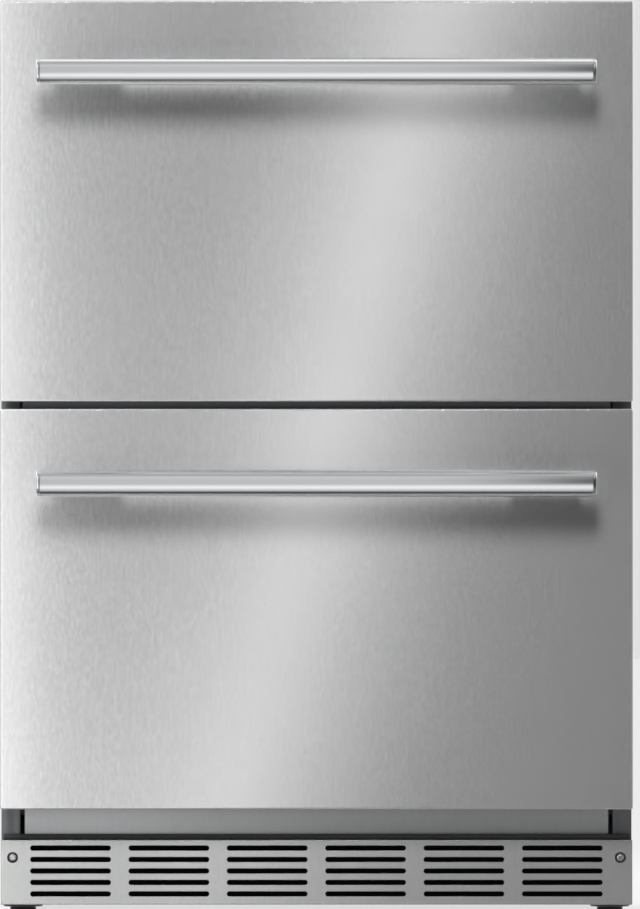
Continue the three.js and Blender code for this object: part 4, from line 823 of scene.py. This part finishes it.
@dataclass
class ToeGrille:
    """The slotted steel grille under the drawers, with a near-black pad behind its slots and a dark bead on its
    upper edge, both painted shade, and its two screws.
    """

    sheet: float = 1.2 * MM
    columns: int = 6
    rows: int = 5
    bridge: float = 17.05 * MM
    margin: float = 28.5 * MM
    row_pitch: float = 11.0 * MM
    slot_height: float = 4.9 * MM
    field_rise: float = 1.3 * MM
    lip: float = 0.35 * MM
    edge_radius: float = 0.9 * MM
    corner: float = 0.4 * MM
    flat_margin: float = 0.5 * MM
    hole_radius: float = 2.3 * MM
    washer_radius: float = 5.2 * MM
    washer_height: float = 0.85 * MM
    head_radius: float = 3.6 * MM
    shank_radius: float = 1.9 * MM
    point: float = 2.0 * MM
    play: float = 3.0 * MM
    pad_thickness: float = 3.0 * MM
    pad_depth: float = 7.0 * MM
    pad_easing: float = 0.8 * MM
    bead_gap: float = 0.4 * MM
    bead_depth: float = 5.0 * MM
    bead_height: float = 5.7 * MM
    bead_corners: int = 16

    def openings(self, low: Vector, high: Vector) -> list[tuple[Point2, float, float]]:
        """Lists the centre, straight half and end radius of each slot and screw hole."""
        pitch = (high.x - low.x - 2 * self.margin + self.bridge) / self.columns
        radius = self.slot_height / 2
        half = (pitch - self.bridge) / 2 - radius
        middle = (low.z + high.z) / 2 + self.field_rise
        found = [(((column - (self.columns - 1) / 2) * pitch, middle + (row - (self.rows - 1) / 2) * self.row_pitch),
                  half, radius) for column in range(self.columns) for row in range(self.rows)]
        for side in SIDES:
            at = self.screw_place(side)
            found.append(((at.x, at.z), 0.0, self.hole_radius))
        return found

    @staticmethod
    def screw_place(side: str) -> Vector:
        """Finds the middle of one screw on the grille's face."""
        middle = sum(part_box(f"grille_screw_{side}"), ORIGIN) / 2
        return Vector((middle.x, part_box("toe_grille")[0].y, middle.z))

    def tray(self) -> None:
        """Presses the grille: a slotted face, rounded edges and a wall all round, open to the back."""
        low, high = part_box("toe_grille")
        mesh = bmesh.new()
        face, behind, lip = low.y, low.y + self.sheet, self.lip
        fronts, backs = [], []
        for centre, half, radius in self.openings(low, high):
            rings = skin_loops(mesh, [
                slot_places(centre, half, radius + wider, depth)
                for wider, depth in ((2 * lip, face), (lip, face), (lip * 0.3, face + lip * 0.3), (0, face + lip),
                                     (0, behind))])
            fronts += loop_edges(rings[0])
            backs += loop_edges(rings[-1])
        turns = [(self.edge_radius + self.flat_margin, face)]
        turns += [(inset, face + depth) for inset, depth in rounding(self.edge_radius, 4)]
        turns += [(0, high.y), (self.sheet, high.y), (self.sheet, behind)]
        rings = skin_loops(mesh, [rounded_places(low, high, inset, self.corner, depth, 2) for inset, depth in turns])
        bmesh.ops.triangle_fill(mesh, use_beauty=True, edges=fronts + loop_edges(rings[0]), normal=(0, -1, 0))
        bmesh.ops.triangle_fill(mesh, use_beauty=True, edges=backs + loop_edges(rings[-1]), normal=(0, 1, 0))
        finished("slotted_grille", outward(mesh), GRILLE_STEEL, "cabinet", ["toe_grille"],
                 SHARP_ON_SHEET)

    def screw(self, side: str) -> None:
        """Makes one screw, its head bright on a black ring that paints the dark reflection round the head."""
        node = f"grille_screw_{side}"
        low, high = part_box(node)
        at = self.screw_place(side)
        rim, top = self.washer_radius, self.washer_height
        profile = [(0, 0.1 * MM), (rim * 0.9, 0.1 * MM), (rim, 0.35 * MM), (rim * 0.92, 0.75 * MM),
                   (self.head_radius, top), (0, top)]
        dark_ring = flipped(turned(profile, Axis.Y, ORIGIN, 36), (1, -1, 1), at)
        # Painted reflection: the black ring stands for the dark reflection in the dimple round the head.
        finished(f"screw_washer_{side}", dark_ring, BLACK_PLASTIC, "cabinet")
        head = pan_head(at - Vector((0, top, 0)), self.head_radius, at.y - low.y - top)
        length = high.y - at.y
        shank = turned([(0, 0), (self.shank_radius, 0), (self.shank_radius, length - self.point), (0, length)],
                       Axis.Y, at, 20)
        finished(f"screw_{side}", joined(head, shank), SCREW_STEEL, "cabinet", [node])

    def filter_pad(self) -> None:
        """Lays a near-black pad inside the tray, behind the slots, as painted shade for the dark bay behind them."""
        low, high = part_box("toe_grille")
        middle, spread = (low + high) / 2, high - low
        pad = block((middle.x, high.y - self.pad_depth, middle.z),
                    (spread.x - 2 * self.play, self.pad_thickness, spread.z - 2 * self.play), self.pad_easing)
        finished("filter_pad", pad, SLOT_SHADE_FOAM, "cabinet")

    def sealing_bead(self) -> None:
        """Draws the oval dark rubber bead on the tray's upper edge, whose dark is painted shade at the foot of the
        recess.
        """
        low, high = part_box("toe_grille")
        ring = []
        for step in range(self.bead_corners):
            turn = 2 * math.pi * step / self.bead_corners
            ring.append(Vector((low.x + self.play,
                                high.y - self.bead_gap - self.bead_depth * (0.5 + 0.5 * math.cos(turn)),
                                high.z + self.bead_height * (0.5 + 0.5 * math.sin(turn)))))
        bead = bmesh.new()
        face = bmesh.ops.contextual_create(bead, geom=loop_edges(edge_loop(bead, ring)))["faces"]
        pulled(bead, face, (high.x - low.x - 2 * self.play, 0, 0))
        # Painted shade: the dark bead stands for the shadow where the rail meets the grille's top.
        finished("sealing_bead", bead, SEAL_RUBBER_AND_SHADE, "cabinet")

    def build(self) -> None:
        """Makes the grille, its pad and its bead, both painted shade, and its screws."""
        self.tray()
        self.filter_pad()
        self.sealing_bead()
        for side in SIDES:
            self.screw(side)


@dataclass
class LevellingLeg:
    """One levelling leg: a plastic foot with a disc for the fingers, on a threaded stud."""

    place: str
    pad_radius: float = 13.5 * MM
    pad_chamfer: float = 1.0 * MM
    pad_taper: float = 1.5 * MM
    disc_radius: float = 19.3 * MM
    disc_low: float = 7.6 * MM
    disc_high: float = 12.0 * MM
    disc_rounding: float = 2.2 * MM
    disc_edge: float = 0.4 * MM
    stud_radius: float = 5.0 * MM
    stud_point: float = 1.2 * MM
    stud_sink: float = 1.0 * MM
    thread_pitch: float = 1.5 * MM
    thread_depth: float = 0.5 * MM

    def build(self) -> None:
        """Turns the foot and its stud."""
        node = f"leg_{self.place}"
        low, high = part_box(node)
        centre = Vector(((low.x + high.x) / 2, (low.y + high.y) / 2, 0))
        body = f"{self.place}_leg"
        foot = [(0, 0), (self.pad_radius - self.pad_chamfer, 0), (self.pad_radius, self.pad_chamfer),
                (self.pad_radius - self.pad_taper, self.disc_low)]
        foot += [(self.disc_radius - inset, self.disc_low + depth)
                 for inset, depth in rounding(self.disc_rounding, 5)]
        foot += [(self.disc_radius, self.disc_high - self.disc_edge),
                 (self.disc_radius - self.disc_edge, self.disc_high), (self.stud_radius, self.disc_high),
                 (0, self.disc_high)]
        finished(f"foot_{self.place}", turned(foot, Axis.Z, centre, 64), LEG_PLASTIC, body, [node])
        root = self.stud_radius - self.thread_depth
        stud = [(0, self.disc_high - self.stud_sink), (root, self.disc_high - self.stud_sink)]
        level = self.disc_high
        while level < high.z - 2 * self.thread_pitch:
            stud += [(root, level), (self.stud_radius, level + self.thread_pitch / 2)]
            level += self.thread_pitch
        stud += [(root, level), (self.stud_radius - self.stud_point, high.z), (0, high.z)]
        finished(f"stud_{self.place}", turned(stud, Axis.Z, centre, 32), SLIDE_ZINC, body)


@dataclass
class EasedNode:
    """A CAD node whose form is right and only wants its edges eased."""

    node: str
    width: float
    sharp: float

    def build(self) -> None:
        """Copies the node, merges its triangles and eases its edges where it is given a width."""
        mesh = node_copy(self.node)
        if self.width > 0:
            eased(mesh, self.width)
        slot = SLOT_OF_NODE[self.node]
        finished(f"{self.node}_eased", mesh, FINISH_OF_NODE.get(self.node, FINISH_OF_SLOT[slot]),
                 body_of(self.node), [self.node], self.sharp)


@dataclass
class MagneticGasket:
    """The seal on a drawer's back: a magnet's pocket on bellows, held by a dart in the core's groove."""

    drawer: str
    width: float = 13.0 * MM
    corner: float = 0.4 * MM
    sharp: float = 32

    def build(self) -> None:
        """Draws the seal's section round the drawer, mitred at its corners."""
        node = f"{self.drawer}_gasket"
        low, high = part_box(node)
        side = ((0.9, 0.0), (0.4, 0.4), (0.4, 3.5), (0.9, 4.0), (3.2, 4.5), (3.5, 5.0), (2.6, 5.7), (0.5, 6.4),
                (0.0, 7.0), (0.0, 8.4))
        dart = ((5.3, 8.4), (5.5, 9.3), (4.9, 9.9), (5.9, 12.7))
        half = [(inset * MM, depth * MM) for inset, depth in side + dart]
        section = half + [(self.width - inset, depth) for inset, depth in reversed(half)]
        mesh = bmesh.new()
        skin_loops(mesh, [rounded_places(low, high, inset, self.corner, high.y - depth, 1)
                          for inset, depth in section], closed=True)
        finished(f"{self.drawer}_seal", outward(mesh), SEAL_RUBBER_AND_SHADE, f"{self.drawer}_drawer", [node],
                 self.sharp)


@dataclass
class ControlPanel:
    """The control box's display window and the marks on its two buttons."""

    window_middle: float = -10.0 * MM
    window_rise: float = 2.0 * MM
    window_half: Point2 = (31.7 * MM, 5.3 * MM)
    window_recess: float = 1.0 * MM
    glass: float = 0.7 * MM
    glass_easing: float = 0.2 * MM
    mark: float = 2.3 * MM
    print_height: float = 0.12 * MM
    lamps: int = 3
    lamp_radius: float = 0.9 * MM
    lamp_pitch: float = 14.0 * MM

    def window(self) -> None:
        """Sets the dark glass in its recess, with a row of small indicator lamps on it."""
        low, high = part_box("control_housing")
        level = (low.z + high.z) / 2 + self.window_rise
        back = low.y + self.window_recess
        mesh = block((self.window_middle, back - self.glass / 2, level),
                     (2 * self.window_half[0], self.glass, 2 * self.window_half[1]), self.glass_easing)
        finished("display_glass", mesh, WINDOW, "cabinet")
        profile = [(0, 0), (self.lamp_radius, 0), (self.lamp_radius * 0.8, 0.1 * MM), (0, self.print_height)]
        for index in range(self.lamps):
            x = self.window_middle + (index - (self.lamps - 1) / 2) * self.lamp_pitch
            dot = flipped(turned(profile, Axis.Y, ORIGIN, 20), (1, -1, 1), (x, back - self.glass, level))
            finished(f"indicator_{index + 1}", dot, INDICATOR, "cabinet")

    def arrow(self, name: str, turn: float) -> None:
        """Prints an arrowhead on one button."""
        low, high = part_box(f"button_{name}")
        mesh = bmesh.new()
        bmesh.ops.create_circle(mesh, cap_ends=True, radius=self.mark, segments=3)
        pulled(mesh, mesh.faces[:], (0, 0, self.print_height))
        middle = (low + high) / 2
        mesh.transform(Matrix.Translation((middle.x, low.y, middle.z)) @ Matrix.Rotation(math.pi / 2, 4, "X")
                       @ Matrix.Rotation(turn, 4, "Z"))
        finished(f"arrow_{name}", mesh, BLACK_PLASTIC, f"{name}_button")

    def build(self) -> None:
        """Makes the window and both arrows."""
        self.window()
        self.arrow("colder", math.pi)
        self.arrow("warmer", 0.0)


@dataclass
class RearScrews:
    """The small screws that hold the back panel and the machine bay's cover."""

    rim: float = 3.4 * MM
    height: float = 1.3 * MM
    inset: float = 7.0 * MM

    def build(self) -> None:
        """Sets the screws round both sheets."""
        heads = []
        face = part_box("rear_cover")[1].y
        for node, columns, rows in (("back_panel", 4, 5), ("rear_cover", 4, 2)):
            low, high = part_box(node)
            for column in range(columns):
                for row in range(rows):
                    if 0 < column < columns - 1 and 0 < row < rows - 1:
                        continue
                    x = low.x + self.inset + (high.x - low.x - 2 * self.inset) * column / (columns - 1)
                    z = low.z + self.inset + (high.z - low.z - 2 * self.inset) * row / (rows - 1)
                    head = pan_head(ORIGIN, self.rim, self.height)
                    head.transform(Matrix.Translation((x, face, z)) @ Matrix.Rotation(math.pi, 4, "Z"))
                    heads.append(head)
        finished("rear_screws", joined(*heads), SCREW_STEEL, "cabinet")


# ---- Studio ----
# The brightness of the studio's walls at each height, in degrees above the level.
WALLS = ((-88, 0.04), (-82, 0.1), (-77, 0.2), (-50, 0.2), (33, 0.24), (50, 0.28), (62, 0.4), (70, 0.8), (80, 0.7),
         (90, 0.9))
# The brightness of a handle's strip light at each height, in degrees above the level, seen from the handle.
STRIP_BANDS = ((-72, 0.25), (-65, 0.36), (-56, 0.48), (-47, 0.71), (-38, 0.9), (-28, 0.95), (-20, 0.82),
               (-11, 0.64), (-3, 0.56), (6, 0.56), (14, 0.59), (32, 0.56), (50, 0.52), (60, 0.42), (66, 0.1))


@dataclass
class Studio:
    """The pale floor, the soft lights and the camera."""

    view_centre: Point2 = (0.0034, 0.4418)
    view_height: float = 0.8704
    lens: float = 1000.0
    sensor: float = 36.0
    floor_half: float = 30.0
    floor_grey: float = 0.34
    floor_roughness: float = 0.9
    floor_shine: float = 0.1
    floor_glow: float = 0.68
    card_gap: float = 0.6
    card_low: float = -1.2
    card_high: float = 1.75
    card_half: float = 1.5
    slant: Point2 = (0.26, -0.111)
    bands: tuple[tuple[float, float, float], ...] = ((0.65, 0.0, 0.035), (0.3, 0.075, 0.05), (0.3, -0.075, 0.05))
    edge: float = 1.35
    edge_ends: Point2 = (-0.36, -0.27)
    edge_rises: Point2 = (-0.66, -0.48)
    left: float = 0.27
    left_ends: Point2 = (-0.3, -0.1)
    left_heights: Point2 = (0.1, 0.7)
    card_foot: Point2 = (-0.3, -0.06)
    keys: tuple[tuple[str, float, float], ...] = (("upper", 0.66, 23.2), ("lower", 0.28, 21.6))
    key_side: float = -0.32
    key_target: float = -0.27
    key_away: Point2 = (-2.85, 1.9)
    key_size: Point2 = (1.4, 1.55)
    key_spread: float = 28.0
    room_power: float = 75.0
    room_place: Point3 = (-1.5, -2.8, 2.6)
    room_target: Point3 = (0, -0.1, 0.45)
    room_size: float = 1.8
    gap_power: float = 8.0
    gap_place: Point3 = (-0.4, -1.7, 0.43)
    gap_target: Point3 = (0, -0.22, 0.489)
    gap_size: Point2 = (1.2, 0.1)
    fill_power: float = 22.0
    fill_place: Point3 = (2.4, 1.6, 1.9)
    fill_target: Point3 = (0.3, 0.1, 0.4)
    fill_size: float = 1.6
    strip_gap: float = 1.2
    strip_reach: float = 72.0
    strip_width: float = 0.9
    strip_ends: Point2 = (0.12, 0.3)
    strip_curve: float = 1.5
    strip_under: Point2 = (-0.3, 0.1)

    def camera(self) -> None:
        """Sets the camera square to the fronts, far off, as the portrait was taken."""
        data = bpy.data.cameras.new("camera")
        data.lens = self.lens
        data.sensor_width = self.sensor
        data.clip_end = 100.0
        camera = placed("camera", data)
        away = self.lens * self.view_height / self.sensor
        camera.location = (self.view_centre[0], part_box("upper_front_skin")[0].y - away, self.view_centre[1])
        camera.rotation_euler = (math.pi / 2, 0, 0)
        bpy.context.scene.camera = camera

    @staticmethod
    def sheet(name: str, shape: Matrix) -> Object:
        """Lays a sheet of the studio, 2 by 2 before it is shaped."""
        mesh = bmesh.new()
        bmesh.ops.create_grid(mesh, x_segments=1, y_segments=1, size=1.0)
        mesh.transform(shape)
        return placed(name, mesh_data(name, mesh))

    def floor(self) -> None:
        """Lays the pale floor, which glows a little so that no strip of it is dull."""
        floor = self.sheet("floor", Matrix.Diagonal((self.floor_half, self.floor_half, 1, 1)))
        material = bpy.data.materials.new("studio_floor")
        material.use_nodes = True
        grey = (self.floor_grey, self.floor_grey, self.floor_grey, 1)
        Graph(material.node_tree).wire(
            material.node_tree.nodes["Principled BSDF"], Base_Color=grey, Roughness=self.floor_roughness,
            Specular_IOR_Level=self.floor_shine, Emission_Color=(1, 1, 1, 1), Emission_Strength=self.floor_glow)
        floor.data.materials.append(material)
        floor.visible_glossy = False

    def world(self) -> None:
        """Surrounds the studio with pale walls, bright above and behind, dark straight below and dim in front."""
        world = bpy.data.worlds.new("studio")
        bpy.context.scene.world = world
        graph = Graph.emptied(world)
        _, away, up = graph.parts(graph.node("TexCoord").outputs["Generated"])
        walls = graph.ramp(graph.span(up, -1, 1, 0, 1), [
            ((math.sin(math.radians(angle)) + 1) / 2, (level, level, level * 1.01)) for angle, level in WALLS])
        in_front = graph.span(away, -0.93, -0.6, 0.15, 1.0)
        behind = graph.span(away, 0.0, 0.4, 1.0, 3.4)
        higher = graph.span(up, 0.12, 0.36, 1.0, 0.6)
        back = graph.node("Background", Color=walls, Strength=graph.times(in_front, graph.times(behind, higher)))
        graph.node("OutputWorld", Surface=back.outputs[0])

    def card(self) -> None:
        """Hangs a wide glowing card in front of the drawers, for the soft bands in the steel.

        It is bright at its left end and along a slanting band, and dim to the right. It reaches the satin
        pieces, the ends of the handles and the cabinet's sides only.
        """
        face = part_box("upper_front_skin")[0].y - self.card_gap
        height = self.card_high - self.card_low
        card = self.sheet("light_card", Matrix.Translation((0, face, self.card_low + height / 2))
                          @ Matrix.Rotation(-math.pi / 2, 4, "X")
                          @ Matrix.Diagonal((self.card_half, height / 2, 1, 1)))
        material = bpy.data.materials.new("card_light")
        graph = Graph.emptied(material)
        x, _, z = graph.parts(graph.node("TexCoord").outputs["Object"])
        across = graph.maths("SUBTRACT", x, graph.maths("MULTIPLY_ADD", z, *self.slant))
        shapes = [(strength, graph.bell(across, centre, width)) for strength, centre, width in self.bands]
        shapes += [(self.edge, graph.times(graph.span(x, *self.edge_ends, 1.0, 0.0),
                                           graph.span(x, *self.edge_rises, 0.2, 1.0))),
                   (self.left, graph.times(graph.span(x, *self.left_ends, 1.0, 0.0),
                                           graph.span(z, *self.left_heights, 1.6, 0.6)))]
        light = 0.0
        for strength, shape in shapes:
            light = graph.maths("MULTIPLY_ADD", shape, strength, light)
        light = graph.times(light, graph.span(z, *self.card_foot, 0.05, 1.0))
        glow = graph.node("Emission", Color=(1, 1, 1, 1), Strength=light)
        clear = graph.node("BsdfTransparent")
        both = graph.node("AddShader", _0=glow.outputs[0], _1=clear.outputs[0])
        graph.node("OutputMaterial", Surface=both.outputs[0])
        card.data.materials.append(material)
        card.visible_camera = False
        card.visible_shadow = False
        caps = self.pieces(*(f"{name}_grip_cap_{side}" for name in DRAWERS for side in SIDES))
        self.share(card, self.satin(*DRAWERS) + caps + self.pieces("outer_wrapper_eased"))

    @staticmethod
    def share(light: Object, pieces: Sequence[Object], kept_off: bool = False) -> None:
        """Lets a light reach some pieces only, or all but those.

        Args:
            light: the lamp or glowing card.
            pieces: the pieces.
            kept_off: whether the light is kept off the pieces.
        """
        reached = bpy.data.collections.new(f"{light.name}_share")
        for piece in pieces:
            reached.objects.link(piece)
        light.light_linking.receiver_collection = reached
        for member in reached.collection_objects:
            member.light_linking.link_state = "EXCLUDE" if kept_off else "INCLUDE"

    @staticmethod
    def pieces(*names: str) -> list[Object]:
        """Finds finished pieces by name."""
        return [bpy.data.objects[name] for name in names]

    def satin(self, *drawers: str) -> list[Object]:
        """Finds the satin pieces of the fronts; the grille and the rail go with the lower one."""
        names = [f"{name}_front_pan" for name in drawers]
        if "lower" in drawers:
            names += ["slotted_grille", "bottom_rail_eased", "screw_left", "screw_right"]
        return self.pieces(*names)

    @staticmethod
    def lamp(name: str, energy: float, place: Sequence[float], target: Sequence[float],
             **settings: object) -> Object:
        """Hangs one area lamp.

        Args:
            name: the lamp's name.
            energy: its strength.
            place: where it hangs.
            target: what it points at.
            **settings: attributes set on the lamp's data.

        Returns:
            The lamp.
        """
        data = bpy.data.lights.new(name, "AREA")
        data.energy = energy
        for attribute, value in settings.items():
            setattr(data, attribute, value)
        light = placed(name, data)
        light.location = place
        light.rotation_euler = (Vector(target) - Vector(place)).to_track_quat("-Z", "Y").to_euler()
        return light

    def lamps(self) -> None:
        """Hangs a key lamp for each front, which falls off to the right, one for the gap and soft ones."""
        for name, level, power in self.keys:
            key = self.lamp(f"{name}_key", power, (self.key_side, self.key_away[0], level + self.key_away[1]),
                            (self.key_side, self.key_target, level), shape="RECTANGLE", size=self.key_size[0],
                            size_y=self.key_size[1], spread=math.radians(self.key_spread))
            key.visible_glossy = False
            self.share(key, self.satin(name))
        room = self.lamp("room_key", self.room_power, self.room_place, self.room_target, size=self.room_size)
        room.visible_glossy = False
        self.share(room, self.satin(*DRAWERS), kept_off=True)
        gap = self.lamp("gap_fill", self.gap_power, self.gap_place, self.gap_target, shape="RECTANGLE",
                        size=self.gap_size[0], size_y=self.gap_size[1])
        gap.visible_glossy = False
        self.share(gap, self.pieces("centre_mullion_eased"))
        for side in (-1, 1):
            mirror = Vector((side, 1, 1))
            self.lamp(f"side_fill_{side + 1}", self.fill_power, Vector(self.fill_place) * mirror,
                      Vector(self.fill_target) * mirror, size=self.fill_size)

    def strip(self, name: str) -> None:
        """Hangs a tall soft light in front of one handle, for its tube only.

        Its brightness changes with height, which gives the polished tube its bands, and dims to the right.
        """
        low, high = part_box(f"{name}_handle_bar")
        place = Vector((0, low.y - self.strip_gap, (low.z + high.z) / 2))
        reach = math.radians(self.strip_reach)
        height = 2 * self.strip_gap * math.tan(reach)
        strip = self.lamp(f"{name}_strip", math.pi * height * self.strip_width, place, place + Vector((0, 1, 0)),
                          shape="RECTANGLE", size=self.strip_width, size_y=height)
        graph = Graph.emptied(strip.data)
        x, _, z = graph.parts(graph.node("NewGeometry").outputs["Position"])
        slope = graph.maths("DIVIDE", graph.maths("SUBTRACT", z, place.z), self.strip_gap)
        rise = graph.maths("ARCTANGENT", slope)
        bands = graph.ramp(graph.span(rise, -reach, reach, 0.0, 1.0), [
            ((angle / self.strip_reach + 1) / 2, (level, level, level)) for angle, level in STRIP_BANDS])
        dim = graph.maths("POWER", graph.span(x, *self.strip_ends, 0.0, 1.0), self.strip_curve)
        loss = graph.span(rise, *self.strip_under, 0.1, 1.0)
        falling = graph.maths("SUBTRACT", 1.0, graph.times(dim, loss))
        glow = graph.node("Emission", Color=bands, Strength=falling)
        graph.node("OutputLight", Surface=glow.outputs[0])
        self.share(strip, self.pieces(f"{name}_grip_tube"))
        blockers = bpy.data.collections.new(f"{name}_blockers")
        blockers.objects.link(bpy.data.objects[f"{name}_front_pan"])
        strip.light_linking.blocker_collection = blockers
        strip.visible_camera = False

    def build(self) -> None:
        """Sets up the whole studio."""
        bpy.context.scene.view_settings.view_transform = "Standard"
        bpy.context.scene.view_settings.look = "None"
        self.camera()
        self.floor()
        self.world()
        self.card()
        self.lamps()
        for name in DRAWERS:
            self.strip(name)
        log.info("studio ready")


# ---- Assembly ----
SLIDES = [f"{level}_slide_{member}_{side}" for level in DRAWERS for member in ("cabinet", "middle", "drawer")
          for side in SIDES]
# How much the edges of each node are eased, in millimetres; a coil isn't.
EASED: dict[str, float] = {
    "outer_wrapper": 0.3, "back_panel": 0.2, "bottom_panel": 0.2, "inner_liner": 0.8, "breaker_frame": 0.5,
    "centre_mullion": 0.5, "bottom_rail": 0.5, "base_pan": 0.3, "compressor": 0.8, "drip_tray": 0.4,
    "condenser_coil": 0, "condenser_fan": 0.25, "condenser_fan_shroud": 0.4, "rear_cover": 0.1, "power_inlet": 0.3,
    "evaporator_cover": 0.6, "evaporator_coil": 0, "evaporator_fan": 0.25, "control_housing": 0.5, "lamp_lens": 0.4,
    "button_colder": 0.3, "button_warmer": 0.3, "upper_front_core": 0.4, "lower_front_core": 0.4,
    "upper_bin": 0.7, "lower_bin": 0.7, **{slide: 0.12 for slide in SLIDES},
}


def dress_nodes() -> None:
    """Gives each CAD node the finish of its slot."""
    for name, node in frame["nodes"].items():
        node.data.materials[0] = FINISH_OF_SLOT[SLOT_OF_NODE[name]].material()


def main() -> None:
    """Builds the refrigerator's finished pieces and the studio."""
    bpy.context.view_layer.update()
    dress_nodes()
    for name in DRAWERS:
        DrawerFront(name).build()
    ToeGrille().build()
    for place in ("front_left", "front_right", "rear_left", "rear_right"):
        LevellingLeg(place).build()
    for drawer in DRAWERS:
        MagneticGasket(drawer).build()
    ControlPanel().build()
    RearScrews().build()
    for node, width in EASED.items():
        EasedNode(node, width * MM, SHARP if width else SHARP_ON_COILS).build()
    Studio().build()


if __name__ == "__main__":
    logging.basicConfig(level=logging.INFO, format="%(message)s")
    main()
